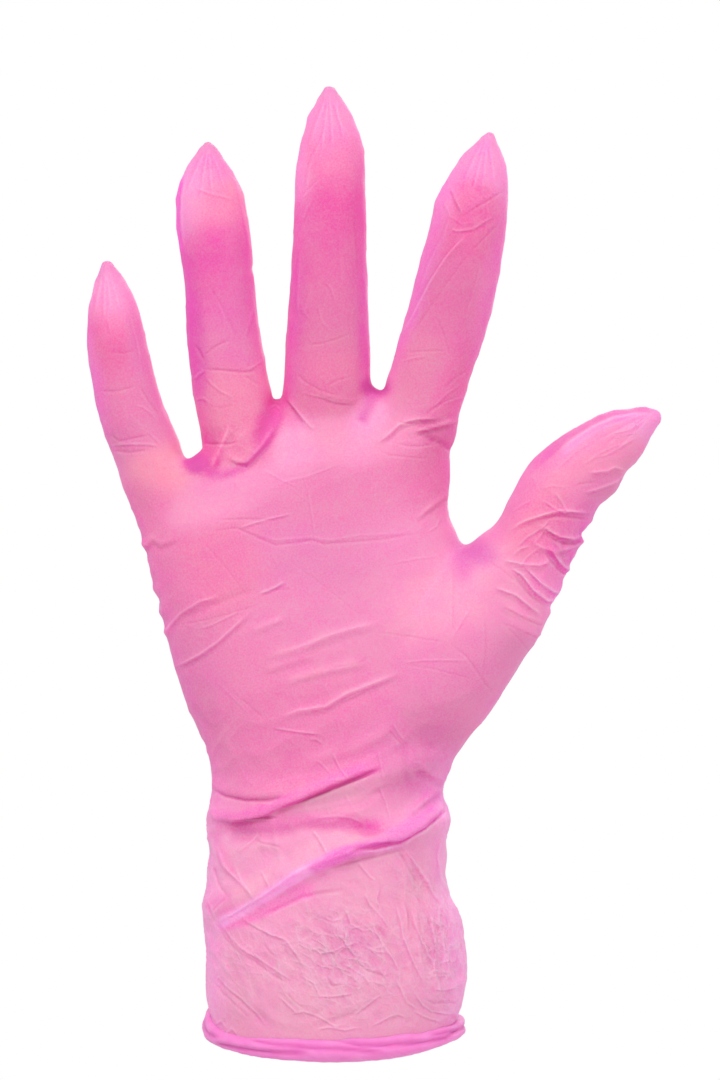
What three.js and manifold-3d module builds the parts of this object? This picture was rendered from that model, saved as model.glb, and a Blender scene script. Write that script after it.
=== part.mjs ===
// A disposable vinyl glove, right-handed, in its full rounded form: palm towards -Y, fingers up and
// thumb towards +X. Millimetres, +Z up. The origin is the middle of the cuff's mouth, at the foot of
// the rolled edge.
import * as THREE from "three";
import { mergeVertices } from "three/addons/utils/BufferGeometryUtils.js";
import Module from "manifold-3d";

const wasm = await Module();
wasm.setup();

// Driving dimensions
const FILM_WALL = 1.15;
const FILM_FOOT_Z = 2.4; // where the film's edge ends, inside the roll
const SEAT_GAP = 0.3; // between the film's edge and the slot in the roll
const THINNEST_TUBE = 2.6; // half of the smallest finger section that still has a hollow of its own

const BODY_SIDES = 38;
const BODY_SQUARENESS = 2.3; // 2 is an ellipse, more is boxier
const FINGER_SIDES = 16;
const FINGER_STEPS = 14;
const THUMB_SIDES = 18;
const THUMB_STEPS = 27;

const ROLL_HALF_HEIGHT = 3.1;
const ROLL_HALF_THICKNESS = 2.3;
const ROLL_SECTION_SIDES = 8;
const ROLL_SIDES = 40;
const ROLL_OUTSET = -0.3; // from the film's outer face to the middle of the roll's section

// Cuff, wrist and palm, from the mouth up to the webs between the fingers. A ring spans from its left
// point to its right point, its middle is raised by crown, and front and back are its half depths. The
// rings lean with the folds of loose film that cross the wrist. steps is the rings up from the row before.
const BODY_RINGS = [
  { leftX: -31.0, leftZ: 2.4, rightX: 30.6, rightZ: 2.4, crown: 0, front: 23.0, back: 23.0, steps: 1 },
  { leftX: -31.0, leftZ: 7.4, rightX: 30.6, rightZ: 7.4, crown: 0, front: 23.0, back: 23.0, steps: 1 },
  { leftX: -32.3, leftZ: 12, rightX: 32.9, rightZ: 15, crown: 0, front: 23.6, back: 23.2, steps: 2 },
  { leftX: -32.5, leftZ: 20, rightX: 32.2, rightZ: 28, crown: 1, front: 23.2, back: 22.4, steps: 2 },
  { leftX: -32.4, leftZ: 26, rightX: 27.3, rightZ: 42, crown: 3, front: 21.8, back: 20.8, steps: 2 },
  // The large fold, which climbs from the left of the cuff to the right of the wrist
  { leftX: -32.6, leftZ: 29, rightX: 27.9, rightZ: 53, crown: 4, front: 20.9, back: 20.0, steps: 1 },
  { leftX: -33.3, leftZ: 31.5, rightX: 29.6, rightZ: 56.5, crown: 4, front: 23.9, back: 21.4, steps: 1 },
  { leftX: -33.4, leftZ: 34, rightX: 28.5, rightZ: 59, crown: 4, front: 22.6, back: 21.0, steps: 1 },
  { leftX: -32.0, leftZ: 38, rightX: 26.9, rightZ: 61.5, crown: 3, front: 19.9, back: 19.4, steps: 1 },
  { leftX: -31.6, leftZ: 46, rightX: 26.8, rightZ: 64.5, crown: 2, front: 20.1, back: 20.7, steps: 2 },
  // The smaller fold, below the heel of the palm
  { leftX: -31.6, leftZ: 53, rightX: 28.6, rightZ: 68.5, crown: 1, front: 18.4, back: 18.7, steps: 2 },
  { leftX: -31.7, leftZ: 56.5, rightX: 29.4, rightZ: 71.5, crown: 1, front: 20.6, back: 20.0, steps: 1 },
  { leftX: -31.2, leftZ: 59.5, rightX: 31.4, rightZ: 73.5, crown: 1, front: 19.8, back: 19.2, steps: 1 },
  { leftX: -30.9, leftZ: 64, rightX: 31.5, rightZ: 76, crown: 1, front: 17.6, back: 17.4, steps: 1 },
  { leftX: -32.2, leftZ: 73, rightX: 32.2, rightZ: 80, crown: 0, front: 17.8, back: 17.0, steps: 2 },
  { leftX: -37.6, leftZ: 86, rightX: 33.6, rightZ: 88, crown: 0, front: 17.8, back: 16.4, steps: 2 },
  { leftX: -41.9, leftZ: 101, rightX: 35.4, rightZ: 102, crown: 0, front: 16.8, back: 15.4, steps: 2 },
  { leftX: -45.8, leftZ: 116, rightX: 33.6, rightZ: 118, crown: 0, front: 15.0, back: 14.0, steps: 2 },
  { leftX: -48.5, leftZ: 127, rightX: 29.0, rightZ: 132, crown: 1, front: 13.4, back: 12.6, steps: 2 },
  { leftX: -51.0, leftZ: 134.5, rightX: 28.8, rightZ: 144, crown: 3, front: 11.6, back: 11.0, steps: 1 },
  { leftX: -51.3, leftZ: 140, rightX: 27.5, rightZ: 153, crown: 4, front: 9.6, back: 9.0, steps: 1 },
  { leftX: -44.0, leftZ: 142.5, rightX: 23.5, rightZ: 159, crown: 5, front: 7.2, back: 6.6, steps: 1 },
  { leftX: -35.5, leftZ: 144, rightX: 18.5, rightZ: 163, crown: 7, front: 3.4, back: 3.2, steps: 1 },
];

// Fingers, from inside the palm to the tip. x, y and z are the middle of the section. The tips narrow to
// a point that lies towards the back of the glove.
const LITTLE_FINGER = [
  { x: -36.5, y: 0.0, z: 127.0, halfWidth: 8.4, halfDepth: 8.2 },
  { x: -42.5, y: -0.2, z: 138.5, halfWidth: 8.8, halfDepth: 8.3 },
  { x: -46.8, y: -0.5, z: 147.5, halfWidth: 8.6, halfDepth: 8.1 },
  { x: -50.3, y: -1.0, z: 156.0, halfWidth: 8.3, halfDepth: 7.7 },
  { x: -52.9, y: -1.5, z: 166.0, halfWidth: 7.9, halfDepth: 7.4 },
  { x: -54.5, y: -1.8, z: 175.0, halfWidth: 7.5, halfDepth: 7.0 },
  { x: -55.3, y: -1.2, z: 181.5, halfWidth: 6.7, halfDepth: 5.9 },
  { x: -56.3, y: 0.1, z: 188.0, halfWidth: 4.8, halfDepth: 4.0 },
  { x: -56.9, y: 1.2, z: 192.6, halfWidth: 3.0, halfDepth: 2.5 },
  { x: -57.2, y: 1.8, z: 195.2, halfWidth: 1.2, halfDepth: 1.1 },
];
const RING_FINGER = [
  { x: -20.0, y: 0.0, z: 131.0, halfWidth: 9.2, halfDepth: 9.0 },
  { x: -22.3, y: 0.0, z: 145.0, halfWidth: 9.5, halfDepth: 9.2 },
  { x: -24.6, y: -0.5, z: 156.5, halfWidth: 9.7, halfDepth: 9.0 },
  { x: -26.6, y: -1.2, z: 167.0, halfWidth: 9.6, halfDepth: 8.8 },
  { x: -28.2, y: -2.0, z: 180.5, halfWidth: 9.0, halfDepth: 8.4 },
  { x: -28.8, y: -2.6, z: 191.0, halfWidth: 8.8, halfDepth: 8.2 },
  { x: -30.1, y: -3.0, z: 201.0, halfWidth: 9.1, halfDepth: 8.0 },
  { x: -31.2, y: -2.5, z: 210.0, halfWidth: 8.7, halfDepth: 7.0 },
  { x: -31.7, y: -1.2, z: 217.5, halfWidth: 6.1, halfDepth: 4.8 },
  { x: -31.6, y: -0.2, z: 222.0, halfWidth: 3.5, halfDepth: 2.8 },
  { x: -31.5, y: 0.4, z: 224.5, halfWidth: 1.5, halfDepth: 1.2 },
];
const MIDDLE_FINGER = [
  { x: -3.0, y: 0.0, z: 136.0, halfWidth: 10.0, halfDepth: 9.6 },
  { x: -2.4, y: 0.0, z: 151.0, halfWidth: 10.6, halfDepth: 9.8 },
  { x: -2.0, y: -0.6, z: 165.0, halfWidth: 10.9, halfDepth: 9.6 },
  { x: -1.8, y: -1.2, z: 174.0, halfWidth: 10.7, halfDepth: 9.4 },
  { x: -1.6, y: -2.0, z: 184.0, halfWidth: 10.1, halfDepth: 9.0 },
  { x: -1.5, y: -2.8, z: 195.0, halfWidth: 9.6, halfDepth: 8.6 },
  { x: -1.3, y: -3.4, z: 206.0, halfWidth: 9.2, halfDepth: 8.2 },
  { x: -1.2, y: -3.4, z: 215.0, halfWidth: 8.9, halfDepth: 7.8 },
  { x: -1.0, y: -2.6, z: 223.0, halfWidth: 8.0, halfDepth: 6.6 },
  { x: -1.2, y: -1.2, z: 230.5, halfWidth: 6.1, halfDepth: 4.6 },
  { x: -1.4, y: -0.1, z: 236.0, halfWidth: 3.4, halfDepth: 2.7 },
  { x: -1.5, y: 0.4, z: 238.6, halfWidth: 1.5, halfDepth: 1.2 },
];
const INDEX_FINGER = [
  { x: 13.5, y: 0.0, z: 134.0, halfWidth: 9.8, halfDepth: 9.4 },
  { x: 17.8, y: 0.0, z: 148.0, halfWidth: 10.1, halfDepth: 9.6 },
  { x: 21.9, y: -0.5, z: 161.0, halfWidth: 10.1, halfDepth: 9.4 },
  { x: 24.9, y: -1.1, z: 171.0, halfWidth: 9.9, halfDepth: 9.2 },
  { x: 28.0, y: -1.8, z: 181.0, halfWidth: 10.1, halfDepth: 9.0 },
  { x: 30.7, y: -2.5, z: 191.0, halfWidth: 10.0, halfDepth: 8.8 },
  { x: 32.9, y: -3.0, z: 201.0, halfWidth: 9.5, halfDepth: 8.4 },
  { x: 34.8, y: -2.8, z: 210.5, halfWidth: 8.7, halfDepth: 7.2 },
  { x: 36.8, y: -1.6, z: 219.0, halfWidth: 6.1, halfDepth: 5.0 },
  { x: 38.0, y: -0.6, z: 224.6, halfWidth: 3.3, halfDepth: 2.8 },
  { x: 38.6, y: 0.0, z: 227.4, halfWidth: 1.4, halfDepth: 1.2 },
];
const THUMB = [
  { x: 8.0, y: -0.5, z: 66.0, halfWidth: 7.5, halfDepth: 8.0 },
  { x: 18.2, y: -2.0, z: 80.8, halfWidth: 14.5, halfDepth: 13.8 },
  { x: 28.1, y: -3.6, z: 96.6, halfWidth: 16.4, halfDepth: 15.4 },
  { x: 36.6, y: -4.5, z: 108.4, halfWidth: 15.2, halfDepth: 14.0 },
  { x: 43.4, y: -4.8, z: 117.2, halfWidth: 13.1, halfDepth: 12.2 },
  { x: 49.1, y: -5.0, z: 126.0, halfWidth: 11.2, halfDepth: 10.8 },
  { x: 53.5, y: -5.0, z: 133.6, halfWidth: 10.0, halfDepth: 10.0 },
  { x: 58.3, y: -5.0, z: 140.5, halfWidth: 9.7, halfDepth: 9.4 },
  { x: 64.4, y: -5.0, z: 145.7, halfWidth: 9.3, halfDepth: 8.4 },
  { x: 70.8, y: -4.2, z: 151.0, halfWidth: 7.6, halfDepth: 6.4 },
  { x: 76.0, y: -3.2, z: 155.0, halfWidth: 5.0, halfDepth: 4.0 },
  { x: 79.8, y: -2.6, z: 157.0, halfWidth: 2.4, halfDepth: 2.0 },
  { x: 81.0, y: -2.4, z: 157.7, halfWidth: 1.3, halfDepth: 1.2 },
];

// Gathers of loose film across the thumb's outer edge. ring counts from the thumb's root.
const THUMB_GATHERS = [
  { ring: 12, height: 0.6 },
  { ring: 14, height: 0.9 },
  { ring: 16, height: 1.4 },
  { ring: 18, height: 1.2 },
  { ring: 20, height: 1.0 },
  { ring: 22, height: 0.7 },
];

const PALETTE = {
  film: { color: 0xf48bbf, roughness: 0.42 },
  roll: { color: 0xf583cf, roughness: 0.38 },
};

// A smooth curve through every named column of a table, read at a distance along its rows.
function throughRows(rows, spacing) {
  const names = Object.keys(rows[0]);
  const stations = [0];
  rows.slice(1).forEach((row, i) => stations.push(stations[i] + spacing(rows[i], row)));
  const values = rows.flatMap((row) => names.map((name) => row[name]));
  const curve = new THREE.CubicInterpolant(stations, values, names.length);
  const at = (distance) => {
    const found = curve.evaluate(distance);
    return Object.fromEntries(names.map((name, i) => [name, found[i]]));
  };
  return { at, stations };
}

// A closed skin over a stack of rings that hold equally many points, each capped end drawn to its middle.
function skin(rings) {
  const sides = rings[0].length;
  const middles = [rings[0], rings.at(-1)].map((ring) =>
    ring.reduce((sum, point) => sum.add(point), new THREE.Vector3()).divideScalar(sides),
  );
  const points = [...rings.flat(), ...middles];
  const [footMiddle, topMiddle] = [rings.length * sides, rings.length * sides + 1];
  const top = (rings.length - 1) * sides;
  const faces = [];
  for (let a = 0; a < sides; a++) {
    const b = (a + 1) % sides;
    faces.push(footMiddle, b, a);
    faces.push(topMiddle, top + a, top + b);
    for (let ring = 0; ring < rings.length - 1; ring++) {
      const low = ring * sides;
      const high = low + sides;
      faces.push(low + a, low + b, high + b);
      faces.push(low + a, high + b, high + a);
    }
  }
  const geometry = new THREE.BufferGeometry().setFromPoints(points);
  geometry.setIndex(faces);
  return geometry;
}

// The same skin, moved in by the wall's thickness.
function hollowOf(geometry) {
  geometry.computeVertexNormals();
  const place = geometry.attributes.position;
  const normal = geometry.attributes.normal;
  for (let i = 0; i < place.count; i++) {
    place.setXYZ(
      i,
      place.getX(i) - FILM_WALL * normal.getX(i),
      place.getY(i) - FILM_WALL * normal.getY(i),
      place.getZ(i) - FILM_WALL * normal.getZ(i),
    );
  }
  return geometry;
}

function solidOf(geometry) {
  const bare = new THREE.BufferGeometry().setAttribute("position", geometry.attributes.position);
  bare.setIndex(geometry.index);
  const merged = mergeVertices(bare, 1e-4);
  const vertProperties = merged.attributes.position.array;
  const triVerts = new Uint32Array(merged.index.array);
  return new wasm.Manifold(new wasm.Mesh({ numProp: 3, vertProperties, triVerts }));
}

function geometryOf(solid) {
  const mesh = solid.getMesh();
  const geometry = new THREE.BufferGeometry();
  geometry.setAttribute("position", new THREE.BufferAttribute(mesh.vertProperties, 3));
  geometry.setIndex(new THREE.BufferAttribute(mesh.triVerts, 1));
  geometry.computeVertexNormals();
  return geometry;
}

// One ring of the cuff, wrist and palm. grow widens it all round.
function bodyRing(row, sides, grow = 0) {
  const power = 2 / BODY_SQUARENESS;
  const middleX = (row.leftX + row.rightX) / 2;
  const halfWidth = (row.rightX - row.leftX) / 2 + grow;
  return Array.from({ length: sides }, (_, i) => {
    const angle = (2 * Math.PI * i) / sides;
    const across = Math.sign(Math.cos(angle)) * Math.abs(Math.cos(angle)) ** power;
    const deep = Math.sign(Math.sin(angle)) * Math.abs(Math.sin(angle)) ** power;
    const level = THREE.MathUtils.lerp(row.leftZ, row.rightZ, (across + 1) / 2);
    const halfDepth = (deep > 0 ? row.back : row.front) + grow;
    return new THREE.Vector3(
      middleX + halfWidth * across,
      halfDepth * deep,
      level + row.crown * (1 - across * across),
    );
  });
}

function bodySkin(extraDepth = 0) {
  const climb = (low, high) => (high.leftZ - low.leftZ + high.rightZ - low.rightZ) / 2;
  const inward = (low, high) => Math.abs(low.front - high.front) / 2;
  const { at, stations } = throughRows(BODY_RINGS, (a, b) => climb(a, b) + inward(a, b));
  const rings = [bodyRing(BODY_RINGS[0], BODY_SIDES)];
  BODY_RINGS.slice(1).forEach((row, i) => {
    for (let step = 1; step <= row.steps; step++) {
      const distance = THREE.MathUtils.lerp(stations[i], stations[i + 1], step / row.steps);
      rings.push(bodyRing(at(distance), BODY_SIDES));
    }
  });
  if (extraDepth) {
    rings.unshift(rings[0].map((point) => point.clone().setZ(point.z - extraDepth)));
  }
  return skin(rings);
}

// One ring across a finger, square to its middle line, with its width in the plane of the palm. lift
// swells the side that faces away from the palm.
function fingerRing(row, along, sides, lift) {
  const widthWay = new THREE.Vector3(0, 1, 0).cross(along).normalize();
  const depthWay = along.clone().cross(widthWay);
  return Array.from({ length: sides }, (_, i) => {
    const angle = (2 * Math.PI * i) / sides;
    const extra = lift * Math.max(Math.cos(angle), 0);
    return new THREE.Vector3(row.x, row.y, row.z)
      .addScaledVector(widthWay, (row.halfWidth + extra) * Math.cos(angle))
      .addScaledVector(depthWay, (row.halfDepth + extra / 2) * Math.sin(angle));
  });
}

// A finger's rings at equal steps, only those that are wider and deeper than thinnest each way.
function fingerSkin(rows, sides, steps, gathers = [], thinnest = 0) {
  const place = (row) => new THREE.Vector3(row.x, row.y, row.z);
  const { at, stations } = throughRows(rows, (a, b) => place(a).distanceTo(place(b)));
  const step = stations.at(-1) / steps;
  const rings = [];
  for (let i = 0; i <= steps; i++) {
    const row = at(i * step);
    const before = place(at(Math.max(i - 0.5, 0) * step));
    const along = place(at(Math.min(i + 0.5, steps) * step)).sub(before).normalize();
    const lift = gathers.find((gather) => gather.ring === i)?.height ?? 0;
    if (Math.min(row.halfWidth, row.halfDepth) > thinnest) {
      rings.push(fingerRing(row, along, sides, lift));
    }
  }
  return skin(rings);
}

// The film: one skin over the palm and five fingers, less the hollow inside.
function filmGeometry() {
  const fingers = [LITTLE_FINGER, RING_FINGER, MIDDLE_FINGER, INDEX_FINGER];
  const tubes = (thinnest) => [
    ...fingers.map((rows) => fingerSkin(rows, FINGER_SIDES, FINGER_STEPS, [], thinnest)),
    fingerSkin(THUMB, THUMB_SIDES, THUMB_STEPS, THUMB_GATHERS, thinnest),
  ];
  const outside = [bodySkin(), ...tubes(0)];
  const inside = [bodySkin(2 * FILM_FOOT_Z), ...tubes(THINNEST_TUBE)].map(hollowOf);
  const join = (skins) => skins.map(solidOf).reduce((whole, next) => whole.add(next));
  return geometryOf(join(outside).subtract(join(inside)));
}

// The film's edge, rolled up on itself into a soft ring, with the slot that the film runs down into.
function rollGeometry() {
  const foot = { ...BODY_RINGS[0], leftZ: ROLL_HALF_HEIGHT, rightZ: ROLL_HALF_HEIGHT };
  const turn = (2 * Math.PI) / ROLL_SECTION_SIDES;
  const rings = Array.from({ length: ROLL_SECTION_SIDES }, (_, i) => {
    const grow = ROLL_OUTSET - ROLL_HALF_THICKNESS * Math.cos(turn * i);
    const rise = ROLL_HALF_HEIGHT * Math.sin(turn * i);
    return bodyRing(foot, ROLL_SIDES, grow).map((point) => point.setZ(point.z - rise));
  });
  const faces = [];
  rings.forEach((_, ring) => {
    const low = ring * ROLL_SIDES;
    const high = ((ring + 1) % ROLL_SECTION_SIDES) * ROLL_SIDES;
    for (let a = 0; a < ROLL_SIDES; a++) {
      const b = (a + 1) % ROLL_SIDES;
      faces.push(low + a, low + b, high + b);
      faces.push(low + a, high + b, high + a);
    }
  });
  const ring = new THREE.BufferGeometry().setFromPoints(rings.flat()).setIndex(faces);
  const tall = { leftZ: FILM_FOOT_Z - SEAT_GAP, rightZ: FILM_FOOT_Z - SEAT_GAP };
  const edge = (grow, drop) =>
    solidOf(
      skin([
        bodyRing({ ...foot, ...tall }, BODY_SIDES, grow).map((p) => p.setZ(p.z - drop)),
        bodyRing({ ...foot, ...tall }, BODY_SIDES, grow).map((p) => p.setZ(4 * ROLL_HALF_HEIGHT)),
      ]),
    );
  const slot = edge(SEAT_GAP, 0).subtract(edge(-FILM_WALL - SEAT_GAP, 1));
  return geometryOf(solidOf(ring).subtract(slot));
}

function piece(name, geometry, finish) {
  const material = new THREE.MeshStandardMaterial({ ...finish, metalness: 0 });
  const mesh = new THREE.Mesh(geometry, material);
  mesh.name = name;
  return mesh;
}

const glove = new THREE.Group();
glove.name = "glove";
glove.add(piece("glove_film", filmGeometry(), PALETTE.film));
glove.add(piece("cuff_roll", rollGeometry(), PALETTE.roll));

export default glove;
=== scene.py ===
import math

import bmesh
import bpy
import numpy as np
from mathutils import Matrix, Vector


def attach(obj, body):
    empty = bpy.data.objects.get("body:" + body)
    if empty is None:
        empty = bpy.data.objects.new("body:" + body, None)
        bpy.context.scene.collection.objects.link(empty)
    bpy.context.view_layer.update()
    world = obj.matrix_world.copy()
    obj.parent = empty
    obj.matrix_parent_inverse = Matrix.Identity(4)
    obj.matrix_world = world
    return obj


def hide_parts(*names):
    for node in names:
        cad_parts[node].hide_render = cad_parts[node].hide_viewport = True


MM = 0.001

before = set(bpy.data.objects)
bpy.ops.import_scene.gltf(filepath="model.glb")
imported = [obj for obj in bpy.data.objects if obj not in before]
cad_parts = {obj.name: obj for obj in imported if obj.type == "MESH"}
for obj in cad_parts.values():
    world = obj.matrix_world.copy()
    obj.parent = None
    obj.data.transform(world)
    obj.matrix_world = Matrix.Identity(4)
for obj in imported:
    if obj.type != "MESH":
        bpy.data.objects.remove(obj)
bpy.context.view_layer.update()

# The camera looks straight at the palm, and what it sees on the plane y = 0 is charted in quarter
# millimetres, u to the right and v down from the top left of its view.
CAMERA_MM = (6.25, -700.0, 125.5)
VIEW_MM = (180.0, 270.0)
SENSOR_MM = 36
CHART_STEP_MM = 0.25
CHART_ORIGIN_UV = (335.0, 1042.0)

# The film's outer face and its lining: how fine their faces are, and how far the moulded facets are
# smoothed away. The outer face swells a little to make up for what the smoothing takes.
OUTER_VOXEL_MM = 1.36
OUTER_SMOOTHINGS = 12
OUTER_SWELL_MM = 0.15
LINING_VOXEL_MM = 2.6
LINING_SMOOTHINGS = 8
LINING_INSET_MM = 0.8
# The moulded foot of the film, where the finished film ends, and how far it is lengthened before that.
FOOT_Z_MM = 2.4
MOUTH_Z_MM = 3.0
MOUTH_EXTENSION_MM = 7.0
FOOT_SLACK_MM = 0.05
FOOT_NORMAL_Z = -0.9
WELD_MM = 0.005
# The lining is inset level over this height at the mouth, and slantwise above.
LEVEL_INSET_MM = 0.5
# Faces of the outer side that turn more towards the palm than this are divided, and a little rounded.
PALM_SIDE_NORMAL_Y = 0.1
DIVIDED_ROUNDNESS = 0.6
# How far a face turns to the palm or the back before that side's folds count, and count in full, and the
# heights between which the film comes clear of the roll.
SIDE_STEP = (-0.1, 0.35)
CLEAR_OF_ROLL_Z_MM = (4.5, 10)

# A table's first row names its columns. Places and routes are on the chart.

# Folds of the film on the palm's side, each a ridge along a route. height is in millimetres, gentle and
# steep are the ridge's reach above and below the route, groove is the depth of the crease below it, and
# lean is how far the ridge hangs over that crease. crest is the height of a sharp line along the ridge,
# or 0 for none.
FOLDS = [
    ["height", "gentle", "steep", "groove", "lean", "crest", "route"],
    # The band of doubled film across the cuff.
    [0.5, 1.0, 2.2, 0.1, 0.1, 0, [(212, 927), (232, 914), (251, 900), (270, 889), (290, 875), (319, 860),
     (349, 847), (366, 840), (390, 838)]],
    [0.85, 1.9, 0.8, 0.5, 0.3, 0, [(345, 848), (366, 842), (386, 839), (401, 837), (421, 825), (436, 812),
     (450, 803)]],
    [0.4, 1.2, 0.9, 0.2, 0.0, 0, [(300, 882), (322, 868), (349, 857), (368, 852), (394, 846)]],
    # The fold at the wrist, just below the palm.
    [0.9, 1.6, 0.8, 0.5, 0.35, 0, [(204, 816), (236, 818), (264, 811), (301, 796), (343, 778),
     (382, 763)]],
    [0.35, 2.4, 0.7, 0.4, 0.0, 0, [(210, 783), (225, 791), (245, 795), (268, 795), (288, 790)]],
    [0.45, 0.9, 0.7, 0.2, 0.1, 0, [(226, 821), (253, 815), (282, 813)]],
    # The shallow dip between the two, and the facets at its thumb end.
    [-1.0, 1.6, 2.2, 0.0, 0.0, 0, [(214, 832), (250, 834), (279, 832), (305, 827), (338, 826), (366, 829),
     (396, 828)]],
    [0.7, 1.4, 0.8, 0.3, 0.0, 0, [(405, 818), (421, 803), (444, 784)]],
    [0.6, 1.0, 1.0, 0.3, 0.0, 0, [(419, 764), (432, 774), (447, 783)]],
    [-0.35, 1.2, 0.9, 0.0, 0.0, 0, [(403, 735), (406, 762), (408, 790)]],
    [-0.25, 2.5, 2.5, 0.0, 0.0, 0, [(378, 770), (390, 758), (402, 748)]],
    # Long soft ridges across the palm.
    [0.42, 1.5, 1.1, 0.2, 0.0, 0, [(262, 660), (280, 653), (303, 647), (330, 636), (357, 628),
     (386, 622)]],
    [0.4, 1.3, 1.0, 0.2, 0.0, 0, [(262, 671), (291, 661), (314, 654)]],
    [0.45, 1.3, 1.0, 0.2, 0.0, 0, [(280, 684), (311, 674), (338, 668), (366, 661)]],
    [0.48, 1.1, 0.8, 0.25, 0.0, 0, [(272, 720), (299, 711), (326, 707), (345, 695), (368, 686),
     (404, 672)]],
    [0.35, 1.0, 0.8, 0.1, 0.0, 0, [(250, 632), (266, 626), (284, 618)]],
    [0.55, 2.4, 1.8, 0.15, 0.0, 0, [(288, 770), (320, 760), (350, 748), (378, 735), (398, 721)]],
    # The creases that run in from the little finger's side of the palm.
    [0.38, 0.75, 0.6, 0.2, 0.0, 0, [(172, 669), (186, 663), (201, 655), (218, 643), (234, 628),
     (252, 611)]],
    [0.32, 0.7, 0.6, 0.2, 0.0, 0, [(163, 636), (169, 629), (180, 615), (199, 603), (222, 596)]],
    [-0.35, 0.8, 0.8, 0.0, 0.0, 0, [(182, 622), (197, 613), (213, 606), (232, 597), (256, 589)]],
    [0.35, 0.8, 0.7, 0.3, 0.0, 0, [(138, 541), (146, 545), (154, 538), (161, 544), (178, 537)]],
    # The fan of gathers below the thumb.
    [0.55, 0.8, 0.65, 0.15, 0.0, 0.12, [(507, 532), (526, 522), (545, 515), (561, 511), (580, 512),
     (594, 513)]],
    [0.6, 0.75, 0.65, 0.3, 0.1, 0.12, [(539, 524), (548, 530), (558, 536), (572, 538), (584, 535)]],
    [0.45, 0.75, 0.65, 0.15, 0.0, 0.12, [(530, 540), (542, 548), (554, 551), (568, 548), (580, 543)]],
    [0.7, 0.75, 0.65, 0.3, 0.1, 0.12, [(548, 546), (555, 556), (561, 564), (572, 574)]],
    [0.5, 0.75, 0.65, 0.2, 0.0, 0.12, [(503, 560), (522, 565), (538, 566), (552, 560)]],
    [0.6, 0.75, 0.65, 0.25, 0.1, 0.12, [(508, 566), (522, 575), (533, 590), (546, 600), (558, 601)]],
    [0.5, 0.75, 0.65, 0.2, 0.0, 0.12, [(524, 566), (540, 583), (553, 592), (563, 595)]],
    [0.45, 0.75, 0.65, 0.2, 0.0, 0.12, [(492, 587), (515, 595), (530, 607), (543, 616)]],
    [0.4, 0.75, 0.65, 0.15, 0.0, 0, [(500, 605), (522, 615), (538, 620), (547, 620)]],
    [0.35, 0.7, 0.6, 0.15, 0.0, 0, [(514, 627), (530, 632), (544, 636)]],
    [0.4, 0.7, 0.6, 0.2, 0.0, 0, [(582, 494), (595, 490), (611, 484), (624, 476)]],
    [0.4, 0.7, 0.6, 0.2, 0.0, 0, [(588, 474), (600, 472), (607, 472), (613, 468), (626, 470)]],
    # The band along the thumb's upper edge.
    [0.4, 0.8, 0.8, 0.1, 0.0, 0, [(553, 457), (572, 442), (593, 428), (613, 419), (638, 415),
     (654, 414)]],
    # The folds at the foot of the index finger.
    [0.5, 0.8, 0.6, 0.4, 0.1, 0.12, [(374, 445), (388, 435), (400, 424), (416, 419), (443, 417)]],
    [0.5, 0.7, 0.6, 0.4, 0.1, 0.12, [(412, 432), (432, 427), (458, 420)]],
    [-0.6, 0.6, 0.6, 0.0, 0.0, 0, [(423, 434), (432, 440), (441, 443), (447, 447), (454, 453)]],
    [0.4, 0.7, 0.6, 0.3, 0.0, 0, [(414, 520), (431, 506), (450, 492)]],
    # The folds at the foot of the ring finger and of the middle finger.
    [0.6, 0.9, 0.8, 0.3, 0.0, 0, [(210, 472), (216, 458), (222, 444), (230, 427)]],
    [0.6, 0.9, 0.7, 0.4, 0.1, 0, [(225, 455), (236, 461), (248, 462), (262, 446), (276, 424)]],
    [0.35, 0.7, 0.6, 0.3, 0.0, 0, [(288, 397), (299, 412), (310, 430)]],
    [0.35, 0.7, 0.6, 0.3, 0.0, 0, [(316, 392), (336, 399), (357, 402)]],
    # The ridge that crosses the index finger, and the strap-like fold near its tip.
    [0.4, 0.6, 0.6, 0.2, 0.0, 0.12, [(472, 231), (458, 244), (446, 259), (430, 284), (416, 312),
     (402, 340)]],
    [0.3, 0.5, 0.5, 0.2, 0.0, 0, [(454, 188), (457, 202), (463, 216)]],
]

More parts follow.
